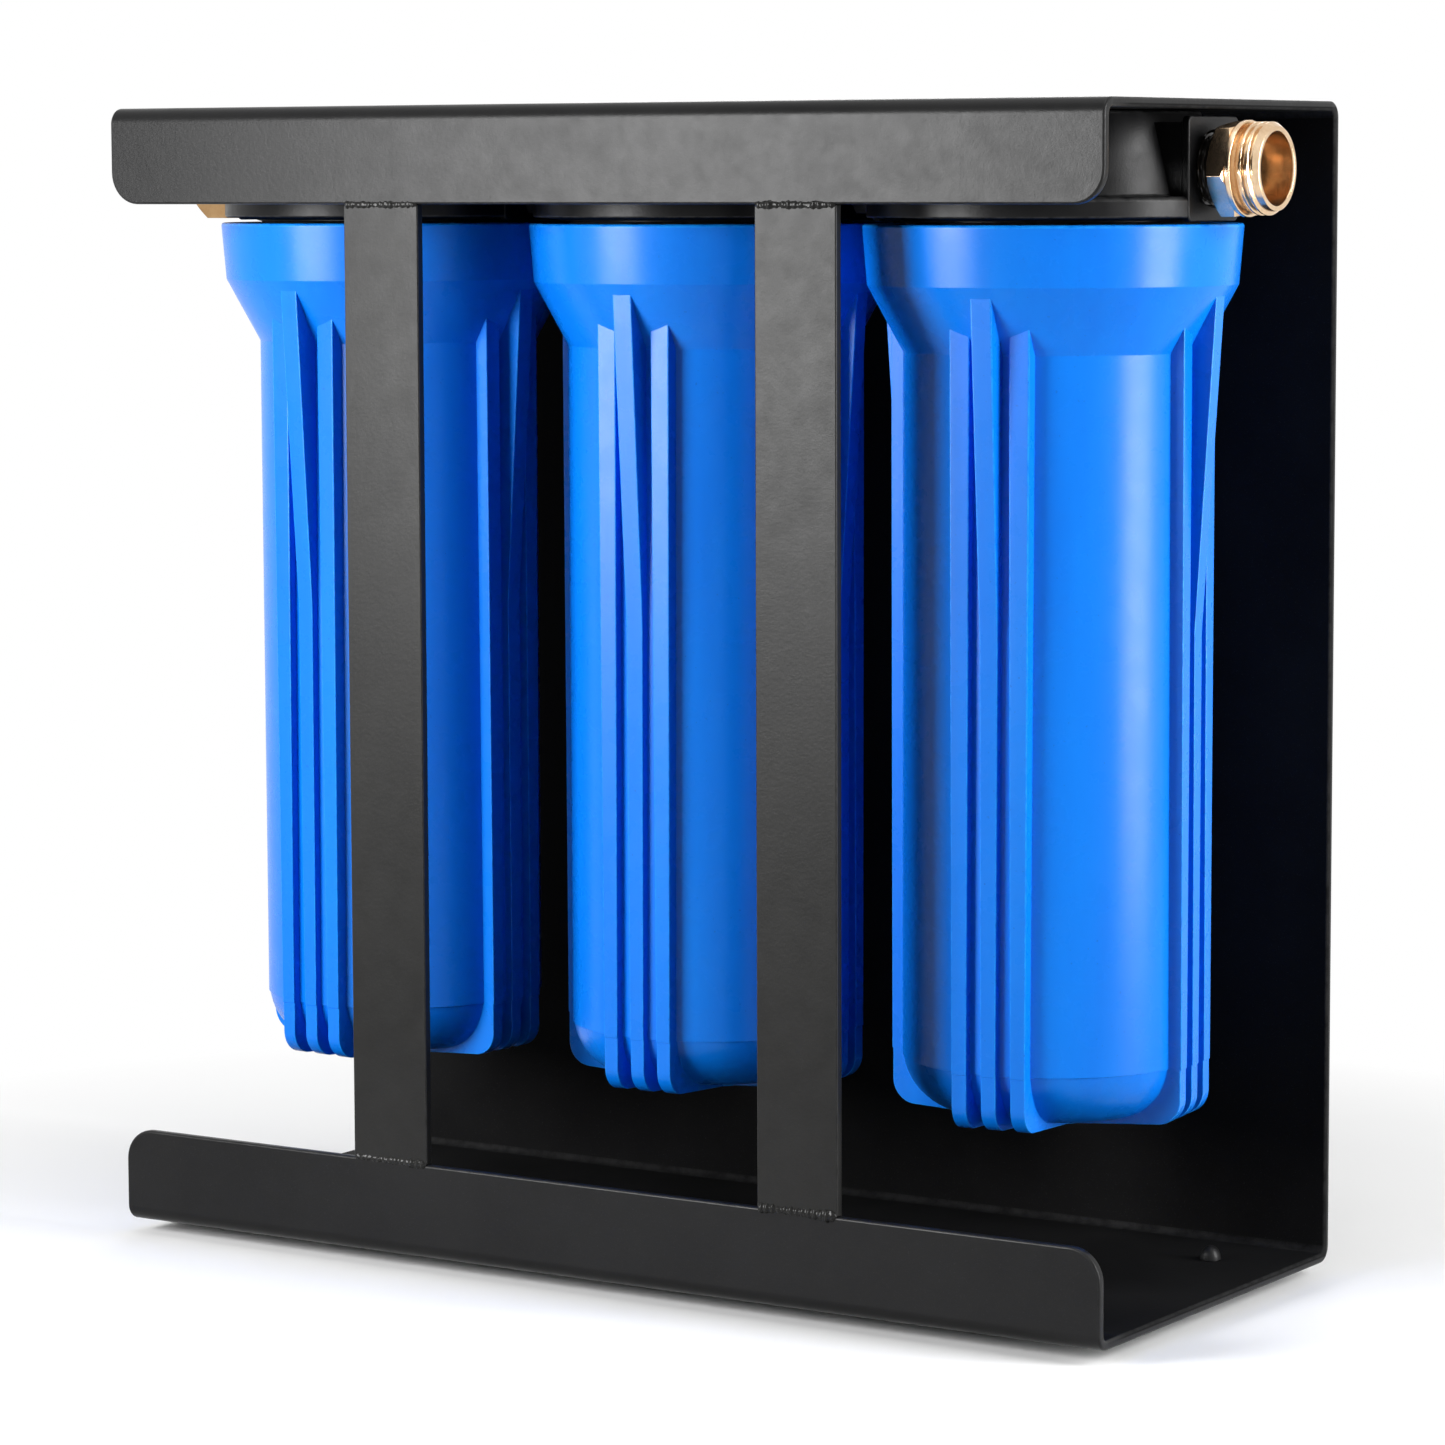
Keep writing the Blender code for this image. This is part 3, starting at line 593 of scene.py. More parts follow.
def footMesh():
    top = feet["height"] + feet["seat"] + stand["sheet"] + feet["seat"]
    dome = arcPoints(0, 0, 1, feet["bulbFrom"], 0, 10)
    profile = [(0, top + feet["bulbHeight"])]
    profile += [(feet["bulb"] * x, top + feet["bulbHeight"] * z) for x, z in dome]
    hollow, hollowTop = feet["hollowShares"]
    corners = [(feet["bulb"], top), (feet["stem"], top, 0.0002), (feet["stem"], feet["height"], 0.0003)]
    corners += [(feet["radius"], feet["height"], 0.0012), (feet["radius"] * feet["footShare"], 0, 0.0006)]
    profile += eased(corners + [(feet["radius"] * hollow, 0)])[1:]
    profile += [(feet["radius"] * hollowTop, feet["hollow"]), (0, feet["hollow"])]
    return lathe(profile, feet["steps"])


def screwMesh():
    head, shank, tip = screws["head"], screws["shank"], screws["tipRadius"]
    threadTop = -screws["headHeight"] - screws["threadGap"]
    rows, thread = threaded(shank, threadTop, screws["tip"] - screws["length"], *screws["thread"])
    profile = [(0, 0)] + [(head + x, z) for x, z in screws["headEdge"]]
    profile += [(shank, -screws["headHeight"])] + rows
    profile += [(tip, -screws["length"]), (0, -screws["length"])]
    blank = lathe(profile, screws["steps"], [thread])
    (wide, rise), (narrow, foot) = screws["recess"]
    outline = [(wide, rise), (-wide, rise), (-narrow, foot), (narrow, foot)]
    slots = []
    for turn in (0, 90):
        upright = Matrix.Rotation(math.radians(turn), 4, "Z") @ Matrix.Rotation(math.pi / 2, 4, "X")
        slots.append(moved(slab(outline, screws["recessWidth"]), upright))
    cross = carved(slots[0], [("UNION", slots[1])])
    return carved(blank, [("DIFFERENCE", cross)])


def darkZinc():
    plating = Finish("blackZinc", Metallic=1.0)
    tone = plating.blend(plating.grain(300, 4), (0.05, 0.05, 0.055), (0.12, 0.12, 0.125))
    plating.relief(plating.grain(2500, 2), 0.00002, 0.5)
    return plating.done(tone, plating.uneven((700, 3), 0.3, 0.45))


footRubber = rubber("footRubber", (0.005, 0.005, 0.0053), 0.42)
footShape = footMesh()
for x, y in footSpots:
    node = "foot_" + ("back" if y > 0 else "front") + ("_right" if x > 0 else "_left")
    fit(node + "_pad", node, footShape, footRubber, (x, y, 0))
screwShape, zinc = screwMesh(), darkZinc()
for stageName, x in stageX.items():
    for number, (dx, dy) in enumerate(screwSpots, 1):
        node = "screw_" + stageName + "_" + str(number)
        spin = number * screws["turnStep"] + x * screws["turnDrift"]
        at = (x + dx, dy, stand["top"])
        fit(node + "_head", node, screwShape, zinc, at, (0, 0, spin))
print("feet and screws done")


# Caps

cap = {
    "bossTop": 0.0435,
    "bossFoot": 0.0495,
    "bossHeight": 0.0248,
    "rim": 0.0553,
    "rimHeight": 0.0061,
    "underSlope": 0.0010,
    "neck": 0.0451,
    "neckWall": 0.0046,
    "neckLength": 0.0178,
    "ceiling": 0.0059,
    "spigot": 0.0180,
    "spigotLength": 0.0123,
    "outletHole": 0.0070,
    "thread": (0.0056, 14, 0.0016),
    "bossEdge": 0.0012,
    "rimEdge": 0.0015,
    "rimFootEdge": 0.0006,
    "neckChamfer": 0.0010,
    "boreChamfer": 0.0008,
    "centreSteps": 32,
    "sideSteps": 24,
    "plastic": (0.0025, 0.0025, 0.0028),
    "plasticPale": (0.0055, 0.0055, 0.0060),
    "plasticWorn": (0.06, 0.06, 0.06),
    "edgeWearAndHighlight": 0.35,
    "clouds": (40, 4),
    "reliefs": (
        ((1500, 3, 0.6), 0.00010, 0.35),  # the mould's spark-eroded texture
        ((60, 2), 0.0006, 0.08),
    ),
    "shine": (200, 4),
    "roughness": (0.30, 0.40),
}
port = {
    "drop": 0.0169,
    "reach": 0.0534,
    "ductWidth": 0.0300,
    "ductHeight": 0.0268,
    "rimFlat": 0.0531,
    "width": 0.0312,
    "height": 0.0304,
    "thickness": 0.0025,
    "corner": 0.0020,
    "edge": 0.0005,
    "ductEdge": 0.0004,
    "mouth": 0.0006,
    "boreSteps": 48,
    "thread": 0.0109,
    "threadDepth": 0.0150,
    "passage": 0.0060,
    "inletHole": 0.0045,
    "inletOffset": 0.0350,
}


def capPlastic():
    black = Finish("capPlastic", Specular_IOR_Level=0.16)
    colour = black.blend(black.uneven(cap["clouds"]), cap["plastic"], cap["plasticPale"])
    colour = black.blend(black.edgeWearAndHighlight(cap["edgeWearAndHighlight"]), colour, cap["plasticWorn"])
    black.reliefs(cap["reliefs"])
    return black.done(colour, black.uneven(cap["shine"], *cap["roughness"]))


def capMesh():
    # Heights run down from the cap's top.
    rimTop = -cap["bossHeight"]
    rimSide = rimTop - cap["rimHeight"]
    rimFoot = rimSide - cap["underSlope"]
    neckFoot = rimFoot - cap["neckLength"]
    ceiling = rimTop - cap["ceiling"]
    bore = cap["neck"] - cap["neckWall"]
    corners = [(0, 0), (cap["bossTop"], 0, cap["bossEdge"]), (cap["bossFoot"], rimTop, cap["bossEdge"])]
    corners += [(cap["rim"], rimTop, cap["rimEdge"]), (cap["rim"], rimSide, cap["rimFootEdge"])]
    outer = eased(corners + [(cap["neck"], rimFoot)], 5)
    rows, thread = threaded(cap["neck"], rimFoot - 0.0001, neckFoot + 0.0012, *cap["thread"])
    spigotFoot = ceiling - cap["spigotLength"]
    inner = [(cap["neck"] - cap["neckChamfer"], neckFoot), (bore + cap["boreChamfer"], neckFoot)]
    inner += [(bore, neckFoot + cap["boreChamfer"]), (bore, ceiling), (cap["spigot"], ceiling)]
    inner += [(cap["spigot"], spigotFoot), (0, spigotFoot)]
    blank = lathe(outer + rows + inner, threads=[thread])
    level = place(z=-port["drop"])
    ductEnd = port["reach"] - port["thickness"] / 2
    square = rectangle(port["ductHeight"] / 2, port["ductWidth"] / 2)
    duct = moved(slab(square, 2 * ductEnd, port["ductEdge"], 1), level @ onX(1))
    wide = cap["rim"] + over
    flats = moved(slab(rectangle(wide, wide), 2 * port["rimFlat"]), onX(1))
    outline = eased(rectangle(port["height"] / 2, port["width"] / 2, port["corner"]), 5, True)
    plate = slab(outline, port["thickness"], port["edge"])
    plates = merged([moved(plate, level @ onX(sign) @ place(z=ductEnd)) for sign in (-1, 1)])
    mouth, threadEnd = port["reach"] + over, port["reach"] - port["threadDepth"]
    bores = []
    for sign, passageEnd in ((-1, port["inletOffset"]), (1, 0)):
        profile = [(0, mouth), (port["thread"] + over, mouth)]
        profile += [(port["thread"], port["reach"] - port["mouth"]), (port["thread"], threadEnd)]
        profile += [(port["passage"], threadEnd), (port["passage"], passageEnd), (0, passageEnd)]
        bores.append(moved(lathe(profile, port["boreSteps"]), level @ onX(sign)))
    centreHole = drill(cap["outletHole"], -port["drop"], spigotFoot - over, cap["centreSteps"])
    sideHole = drill(port["inletHole"], -port["drop"], ceiling - over, cap["sideSteps"])
    screwDepth = screws["length"] - stand["sheet"] + screws["holeSpare"]
    screwHole = drill(screws["shank"] + screws["gap"], over, -screwDepth, screws["holeSteps"])
    holes = [centreHole, moved(sideHole, place(-port["inletOffset"]))]
    holes += [moved(screwHole, place(x, y)) for x, y in screwSpots]
    steps = [("INTERSECT", flats), ("UNION", duct), ("UNION", plates)]
    steps += [("DIFFERENCE", merged(bores)), ("DIFFERENCE", merged(holes))]
    return markEdges(carved(blank, steps))


capShape, capFinish = capMesh(), capPlastic()
for stageName, x in stageX.items():
    node = "cap_" + stageName
    fit(node + "_head", node, capShape, capFinish, (x, 0, stages["capTop"]))
print("caps done")


# Sumps

sump = {
    "height": 0.2680,
    "collarTop": 0.0566,
    "collarFoot": 0.0551,
    "collarHeight": 0.0180,
    "cone": 0.0197,
    "body": 0.0445,
    "wall": 0.0035,
    "threadBore": 0.0455,
    "sealShelf": 0.2474,
    "bottomRound": 0.0180,
    "bottomWall": 0.0040,
    "disc": 0.0165,
    "discHeight": 0.0026,
    "parting": 0.0188,
    "partingStep": 0.0003,
    "partingSlope": 0.00015,
    "boreEdge": 0.0008,
    "topEdge": 0.0009,
    "collarEdge": 0.0008,
    "coneEdge": 0.0010,
    "discEdge": 0.0005,
    "footEdge": 0.0006,
    "steps": 128,
    "sharpAngle": math.radians(20),
    "plastic": (0.001, 0.182, 0.74),
    "plasticDeep": (0.001, 0.152, 0.69),
    # painted edge highlight colour for the rounded rib and rim edges
    "paintedEdgeHighlight": (0.015, 0.34, 0.93),
    "plasticSpeck": (0.002, 0.06, 0.40),
    "streaks": (1, 4, 0.6),
    "streakStretch": (60, 60, 7),
    "edgeWearAndHighlight": 0.5,
    "specks": ((900, 1), 0, 0.5, 0.74, 0.80),
    "reliefs": (
        ((1400, 2, 0.5), 0.00004, 0.25),
        ((34, 2, 0.4), 0.0006, 0.10),  # faint sink marks
    ),
    "shine": (110, 4),
    "roughness": (0.25, 0.31),
}
rib = {
    "groups": 4,
    "topWidth": 0.0066,
    "footWidth": 0.0046,
    "spacing": 0.0094,
    "reach": 0.0470,
    "sideRise": 0.0120,
    "topReach": 0.0534,
    "topDrop": 0.0024,
    "taper": 0.0997,
    "corner": 0.0075,
    "footRise": 0.0020,
    "innerRise": 0.0004,
    "innerGap": 0.0006,
    "edge": 0.0003,
}
coneFoot = sump["height"] - sump["collarHeight"] - sump["cone"]
innerFloor = sump["discHeight"] + sump["bottomWall"]
innerRound = sump["bottomRound"] - sump["wall"]
sumpBore = sump["body"] - sump["wall"]


def bluePlastic():
    blue = Finish("sumpPlastic", Specular_IOR_Level=0.22)
    along = blue.stretched(*sump["streakStretch"])
    streaks = blue.grain(*sump["streaks"], along)  # flow of the plastic up the mould
    colour = blue.blend(blue.spread(streaks, 0, 1), sump["plasticDeep"], sump["plastic"])
    # rounded rib and rim edges painted paler: a painted edge highlight
    colour = blue.blend(blue.edgeWearAndHighlight(sump["edgeWearAndHighlight"]), colour, sump["paintedEdgeHighlight"])
    colour = blue.blend(blue.uneven(*sump["specks"]), colour, sump["plasticSpeck"])
    blue.reliefs(sump["reliefs"])
    return blue.done(colour, blue.uneven(sump["shine"], *sump["roughness"]))


def sumpBlank():
    low = sump["body"] - sump["partingStep"]
    centre = sump["discHeight"] + sump["bottomRound"]
    start = 360 - math.degrees(math.asin((centre - sump["parting"]) / sump["bottomRound"]))
    profile = [(0, innerFloor)]
    profile += arcPoints(sumpBore - innerRound, innerFloor + innerRound, innerRound, 270, 360, 8)
    height, shelf, bore = sump["height"], sump["sealShelf"], sump["threadBore"]
    corners = [(sumpBore, innerFloor + innerRound + 0.001), (sumpBore, shelf), (bore, shelf)]
    corners += [(bore, height, sump["boreEdge"]), (sump["collarTop"], height, sump["topEdge"])]
    corners += [(sump["collarFoot"], height - sump["collarHeight"], sump["collarEdge"])]
    corners += [(sump["body"], coneFoot, sump["coneEdge"])]
    corners += [(sump["body"], sump["parting"] + sump["partingSlope"])]
    profile += eased(corners, 5) + [(low, sump["parting"])]
    profile += arcPoints(low - sump["bottomRound"], centre, sump["bottomRound"], start, 270, 14)[1:]
    disc, top = sump["disc"], sump["discHeight"]
    corners = [(disc + 0.001, top), (disc, top, sump["discEdge"]), (disc, 0, sump["footEdge"]), (0, 0)]
    profile += eased(corners)[1:]
    return lathe(profile, sump["steps"])


def ribMesh(offset):
    # Distance from the axis is X and height is Y; the inner side runs inside the sump's wall.
    low = rib["reach"] - sump["partingStep"]
    reach = rib["reach"]
    outer = [(reach, coneFoot + rib["sideRise"])]
    foot = rib["spacing"] + rib["topWidth"] / 2 + rib["innerGap"]
    if not offset:
        top = sump["height"] - sump["collarHeight"] - rib["topDrop"]
        outer = [(rib["topReach"], top), (reach, top - rib["taper"])]
        foot = sump["disc"] - sump["discHeight"]
    outer += [(reach, sump["parting"] + sump["partingSlope"]), (low, sump["parting"])]
    outer += arcPoints(low - rib["corner"], rib["footRise"] + rib["corner"], rib["corner"], 360, 270, 10)
    outer.append((foot, rib["innerRise"]))
    wallRadius = (sump["body"] + sumpBore) / 2
    wallLevel = (sump["discHeight"] + innerFloor) / 2
    wallRound = (sump["bottomRound"] + innerRound) / 2
    corner = arcPoints(wallRadius - wallRound, wallLevel + wallRound, wallRound, 270, 360, 6)
    inner = [(foot, wallLevel)]
    inner += [(math.sqrt(radius**2 - offset**2), height) for radius, height in corner]
    inner.append((inner[-1][0], coneFoot))
    if offset:
        inner.append((inner[-1][0], outer[0][1]))
    else:
        inner.append((reach, coneFoot + sump["cone"] / 2))
        inner.append((reach + sump["wall"] / 2, outer[0][1]))
    shape = slab(outer + inner, rib["footWidth"], rib["edge"])
    draft = (rib["topWidth"] / rib["footWidth"] - 1) / (sump["height"] - sump["collarHeight"])
    for point in shape.vertices:
        point.co.z *= 1 + draft * point.co.y
    return shape


def sumpMesh():
    shapes = {0: ribMesh(0), 1: ribMesh(rib["spacing"]), -1: ribMesh(rib["spacing"])}
    upright = Matrix(((0, 0, -1, 0), (-1, 0, 0, 0), (0, 1, 0, 0), (0, 0, 0, 1)))
    ribs = []
    for group in range(rib["groups"]):
        facing = Matrix.Rotation(math.tau * group / rib["groups"], 4, "Z")
        for side, shape in shapes.items():
            ribs.append(moved(shape, facing @ place(side * rib["spacing"]) @ upright))
    return markEdges(carved(sumpBlank(), [("UNION", merged(ribs))], sump["sharpAngle"]))


sumpShape, sumpFinish = sumpMesh(), bluePlastic()
print("sump mesh:", len(sumpShape.polygons), "faces")
for (stageName, x), turn in zip(stageX.items(), stages["turns"]):
    node, at, turn = "sump_" + stageName, (x, 0, stages["sumpFoot"]), (0, 0, math.radians(turn))
    fit(node + "_bowl", node, sumpShape, sumpFinish, at, turn, node)
print("sumps done")


# Brass fittings and the nipples between the caps; each is made upright, pipe thread down

pipe = {
    "axis": 0.3401,
    "radius": 0.0106,
    "engaged": 0.0130,
    "waterway": 0.0070,
    "thread": (0.0018, 12, 0.0010),
    "chamfer": 0.0010,
    "hexGap": 0.0003,
}
outlet = {
    "foot": 0.1609,  # X of the pipe thread's end
    "hexFoot": 0.0172,
    "hexTop": 0.0236,
    "hexWidth": 0.0258,
    "hexChamfer": 0.0011,
    "tilt": 8.6,
    "collar": 0.0140,
    "collarTop": 0.0250,
    "neck": 0.0121,
    "threadFoot": 0.0262,
    "threadTop": 0.0318,
    "top": 0.033625,
    "radius": 0.0135,
    "thread": (0.0022, 22, 0.0011),
    "bore": 0.0105,
    "boreDepth": 0.0155,
    "brass": (0.88, 0.66, 0.44),
    "brassDeep": (0.66, 0.45, 0.27),
    # dark band on the pipe thread below the hexagon: sealant and painted shade
    "sealantAndPaintedShade": (0.030, 0.026, 0.022),
    "roughness": (0.17, 0.27),
}
inlet = {
    "hexFoot": 0.0198,
    "hexWidth": 0.0295,
    "chamfer": 0.0030,
    "socket": 0.0134,
    "socketDepth": 0.0100,
    "washerBore": 0.0075,
    "washerThickness": 0.0028,
    "brass": (0.50, 0.32, 0.155),
    "brassDeep": (0.37, 0.22, 0.10),
    "roughness": (0.34, 0.46),
    "socketMouth": 0.0008,
    "thread": (0.0022, 10, 0.0009),
    "steps": 72,
}
nipple = {"hexWidth": 0.0260, "hexLength": 0.0080, "chamfer": 0.0006, "steps": 64}
brassLook = {
    "stain": ((120, 5, 0.65), 0, 1, 0.35, 0.7),
    "sealAndShadeFade": (0.0003, 0.0001),  # below the hexagon's foot
    "rings": (1, 3, 0.7),
    "ringStretch": (30, 30, 5200),
    "ringRelief": (0.00003, 0.35),
    "reliefs": (((1600, 3, 0.6), 0.00002, 0.30),),
    "scuffs": (500, 5, 0.7),
}


def turnedBrass(name, piece):
    brass = Finish(name)
    colour = brass.blend(brass.uneven(*brassLook["stain"]), piece["brass"], piece["brassDeep"])
    height = brass.add("ShaderNodeSeparateXYZ", {0: brass.where}).outputs["Z"]
    fadeFrom, fadeTo = (piece["hexFoot"] - below for below in brassLook["sealAndShadeFade"])
    clearOfSealAndShade = brass.spread(height, 0, 1, fadeFrom, fadeTo)  # below it the pipe thread is painted dark: sealant and painted shade
    colour = brass.blend(clearOfSealAndShade, outlet["sealantAndPaintedShade"], colour)
    brass.tree.links.new(clearOfSealAndShade, brass.shader.inputs["Metallic"])
    rings = brass.grain(*brassLook["rings"], brass.stretched(*brassLook["ringStretch"]))
    brass.relief(rings, *brassLook["ringRelief"])  # the lathe's fine rings
    brass.reliefs(brassLook["reliefs"])
    return brass.done(colour, brass.uneven(brassLook["scuffs"], *piece["roughness"]))


def hexNut(width, low, high, chamfer, edge=0.0003, hole=0):
    reach = width / math.sqrt(3)
    angles = [math.radians(60 * i + 30) for i in range(6)]
    corners = [(reach * math.cos(a), reach * math.sin(a), edge) for a in angles]
    prism = slab(eased(corners, 3, True), high - low, 0.0001, 1)
    flats = width / 2
    beyond = 2 * flats / math.cos(math.pi / 6) - flats
    cone = [(hole, high), (flats, high), (beyond, high - 2 * chamfer)]
    cone += [(beyond, low + 2 * chamfer), (flats, low), (hole, low)]
    if hole:
        cone.append(cone[0])
    return carved(moved(prism, place(z=(high + low) / 2)), [("INTERSECT", lathe(cone))])


def pipeThread(high, low=pipe["chamfer"]):
    return threaded(pipe["radius"], high, low, *pipe["thread"])


def outletMesh():
    top, radius, bore = outlet["top"], outlet["radius"], outlet["bore"]
    low = outlet["threadFoot"] + 0.0002
    rows, (foot, high, *hose) = threaded(radius, outlet["threadTop"], low, *outlet["thread"])
    pipeRows, sealed = pipeThread(outlet["hexFoot"] - pipe["hexGap"])
    step = top - outlet["boreDepth"]
    mouth = [(bore, top - 0.0006), (bore + 0.0004, top, 0.0002), (radius - 0.0014, top, 0.0004)]
    profile = eased(mouth + [(radius, outlet["threadTop"] + 0.00005)], 3) + rows
    collar, collarTop = outlet["collar"], outlet["collarTop"]
    neck, hexFoot, hexTop = outlet["neck"], outlet["hexFoot"], outlet["hexTop"]
    waist = [(neck, outlet["threadFoot"] - 0.0001), (neck, collarTop), (collar, collarTop, 0.0004)]
    waist += [(collar, hexTop - 0.0002, 0.0003), (neck, hexTop - 0.0008), (neck, hexFoot - 0.0001)]
    waist += [(pipe["radius"], hexFoot - 0.0001)]
    profile += eased(waist, 3)
    profile += pipeRows + [(pipe["radius"] - pipe["chamfer"], 0), (pipe["waterway"], 0)]
    profile += [(pipe["waterway"], step), (bore, step + 0.0008)]
    profile.append(profile[0])
    hose = (foot, high + outlet["thread"][0], *hose)  # full up to the mouth
    nut = hexNut(outlet["hexWidth"], hexFoot, hexTop, outlet["hexChamfer"], hole=(bore + neck) / 2)
    nut = moved(nut, Matrix.Rotation(math.radians(outlet["tilt"]), 4, "Z"))
    return carved(lathe(profile, threads=[hose, sealed]), [("UNION", nut)])


def inletMesh():
    top = outlet["top"]
    middle = (inlet["hexFoot"] + top) / 2
    pipeRows, sealed = pipeThread(inlet["hexFoot"] - pipe["hexGap"])
    profile = [(0, middle - 0.003), (pipe["radius"], middle - 0.003)] + pipeRows
    profile += [(pipe["radius"] - pipe["chamfer"], 0), (0, 0)]
    body = lathe(profile, threads=[sealed])
    step, wide = top - inlet["socketDepth"], inlet["socket"] + inlet["socketMouth"]
    rows, thread = threaded(inlet["socket"], top - 0.0010, step + 0.0030, *inlet["thread"])
    profile = [(0, top + over), (wide + over, top + over), (wide, top)]
    profile += [(inlet["socket"], top - inlet["socketMouth"])] + rows + [(inlet["socket"], step)]
    profile += [(pipe["waterway"], step), (pipe["waterway"], -over), (0, -over)]
    socket = lathe(profile, inlet["steps"], [thread])
    nut = hexNut(inlet["hexWidth"], inlet["hexFoot"], top, inlet["chamfer"], 0.0005)
    return carved(nut, [("UNION", body), ("DIFFERENCE", socket)])


def nippleMesh():
    length = stages["spacing"] - 2 * port["reach"] + 2 * pipe["engaged"]
    half = nipple["hexLength"] / 2
    middle = length / 2
    ends = pipe["radius"] - pipe["chamfer"]
    upper, upperThread = pipeThread(length - pipe["chamfer"], middle + half)
    lower, lowerThread = pipeThread(middle - half)
    profile = [(pipe["waterway"], length), (ends, length)] + upper + lower
    profile += [(ends, 0), (pipe["waterway"], 0), (pipe["waterway"], length)]
    hole = (pipe["waterway"] + pipe["radius"]) / 2
    nut = hexNut(nipple["hexWidth"], middle - half, middle + half, nipple["chamfer"], hole=hole)
    return carved(lathe(profile, nipple["steps"], [upperThread, lowerThread]), [("UNION", nut)])


def ringMesh(outer, bore, thickness, edge=0.0005, steps=64):
    corners = [(bore, thickness, edge), (outer, thickness, edge), (outer, 0, edge), (bore, 0, edge)]
    outline = eased(corners, 4, True)
    return lathe(outline + outline[:1], steps)


right, left = (0, math.pi / 2, 0), (0, -math.pi / 2, 0)
for name, piece, mesh, sign, turn in (
    ("outlet", outlet, outletMesh(), 1, right),
    ("inlet", inlet, inletMesh(), -1, left),
):
    finish = turnedBrass(name + "Brass", piece)
    node, at = name + "_fitting", (sign * outlet["foot"], 0, pipe["axis"])
    fit(node + "_brass", node, mesh, finish, at, turn)
washer = ringMesh(inlet["socket"] - 0.0010, inlet["washerBore"], inlet["washerThickness"])
washerX = -outlet["foot"] - outlet["top"] + inlet["socketDepth"] - 0.0003
redRubber = rubber("washerRubber", (0.30, 0.045, 0.03), 0.5)
at = (washerX, 0, pipe["axis"])
fit("inlet_washer_ring", "inlet_washer", washer, redRubber, at, left)
nippleShape = nippleMesh()
for side, stageName in (("left", "left"), ("right", "middle")):
    node, at = "nipple_" + side, (stageX[stageName] + port["reach"] - pipe["engaged"], 0, pipe["axis"])
    fit(node + "_hex", node, nippleShape, capFinish, at, right)
print("fittings done")


# Inside each stage: seal, gaskets and cartridge

inside = {
    "sealRadius": 0.04325,
    "sealSection": 0.00155,
    "sealLevel": 0.30545,
    "gasket": 0.0240,
    "gasketBore": 0.0140,
    "gasketThickness": 0.0030,
    "gasketLow": 0.0631,
    "gasketHigh": 0.3107,
    "cartridgeFoot": 0.0664,
    "cartridgeLength": 0.2440,
    "cartridge": 0.03175,
    "wrap": (0.0062, 6, 0.0010),
    "endCap": 0.0080,
    "endCapStep": 0.0012,
    "steps": 72,
}


def fibreFinish():
    fibre = Finish("spunFibre", Sheen_Weight=0.2)
    strands = fibre.grain(1, 5, 0.7, fibre.stretched(260, 260, 1600))
    colour = fibre.blend(fibre.spread(strands, 0, 1), (0.82, 0.82, 0.79), (0.62, 0.62, 0.58))
    fibre.relief(strands, 0.0003, 0.7)
    return fibre.done(colour, fibre.uneven((300, 3), 0.8, 0.95))


def carbonFinish():
    carbon = Finish("carbonBlock")
    colour = carbon.blend(carbon.uneven((900, 4, 0.7)), (0.012, 0.012, 0.012), (0.05, 0.05, 0.05))
    carbon.relief(carbon.grain(1300, 4, 0.7), 0.0002, 0.7)
    return carbon.done(colour, carbon.uneven((500, 3), 0.75, 0.95))


def gasketFinish():
    foam = Finish("gasketFoam")
    colour = foam.blend(foam.grain(500, 4), (0.70, 0.70, 0.66), (0.80, 0.80, 0.77))
    foam.relief(foam.grain(1800, 3), 0.0001, 0.6)
    return foam.done(colour, foam.uneven((300, 3), 0.6, 0.75))


def cartridgeMesh(wrapped):
    length, radius, bore = inside["cartridgeLength"], inside["cartridge"], inside["gasketBore"]
    step = inside["endCapStep"]
    waist = radius - step
    if wrapped:
        rows, thread = threaded(radius, length - step, step, *inside["wrap"])
        profile = [(bore, length), (waist, length)] + rows + [(waist, 0), (bore, 0), (bore, length)]
        return lathe(profile, inside["steps"], [thread])
    end = inside["endCap"]
    corners = [(bore, length), (radius, length, 0.0010), (radius, length - end, 0.0004)]
    corners += [(waist, length - end, 0.0003), (waist, end, 0.0003), (radius, end, 0.0004)]
    corners += [(radius, 0, 0.0010), (bore, 0), (bore, length)]
    return lathe(eased(corners, 3), inside["steps"])


outline = [(inside["sealRadius"] + x, z) for x, z in arcPoints(0, 0, inside["sealSection"], 0, 345, 23)]
sealShape = lathe(outline + outline[:1])
gasketShape = ringMesh(inside["gasket"], inside["gasketBore"], inside["gasketThickness"])
sealRubber = rubber("sealRubber", (0.012, 0.012, 0.013), 0.45)
gasketFoam = gasketFinish()
fibre, carbon = fibreFinish(), carbonFinish()
for stageName, x in stageX.items():
    wrapped = stageName == "left"
    insert = "insert_" + stageName
    node, at = "seal_" + stageName, (x, 0, inside["sealLevel"])
    fit(node + "_ring", node, sealShape, sealRubber, at, body="sump_" + stageName)
    for end, level in (("low", inside["gasketLow"]), ("high", inside["gasketHigh"])):
        node = "gasket_" + end + "_" + stageName
        fit(node + "_ring", node, gasketShape, gasketFoam, (x, 0, level), body=insert)
    finish, slotName = (fibre, "cartridge_fibre") if wrapped else (carbon, "cartridge_carbon")
    node, at = "cartridge_" + stageName, (x, 0, inside["cartridgeFoot"])
    fit(node + "_core", node, cartridgeMesh(wrapped), finish, at, body=insert)
print("inner pieces done")


# Floor, lights and camera

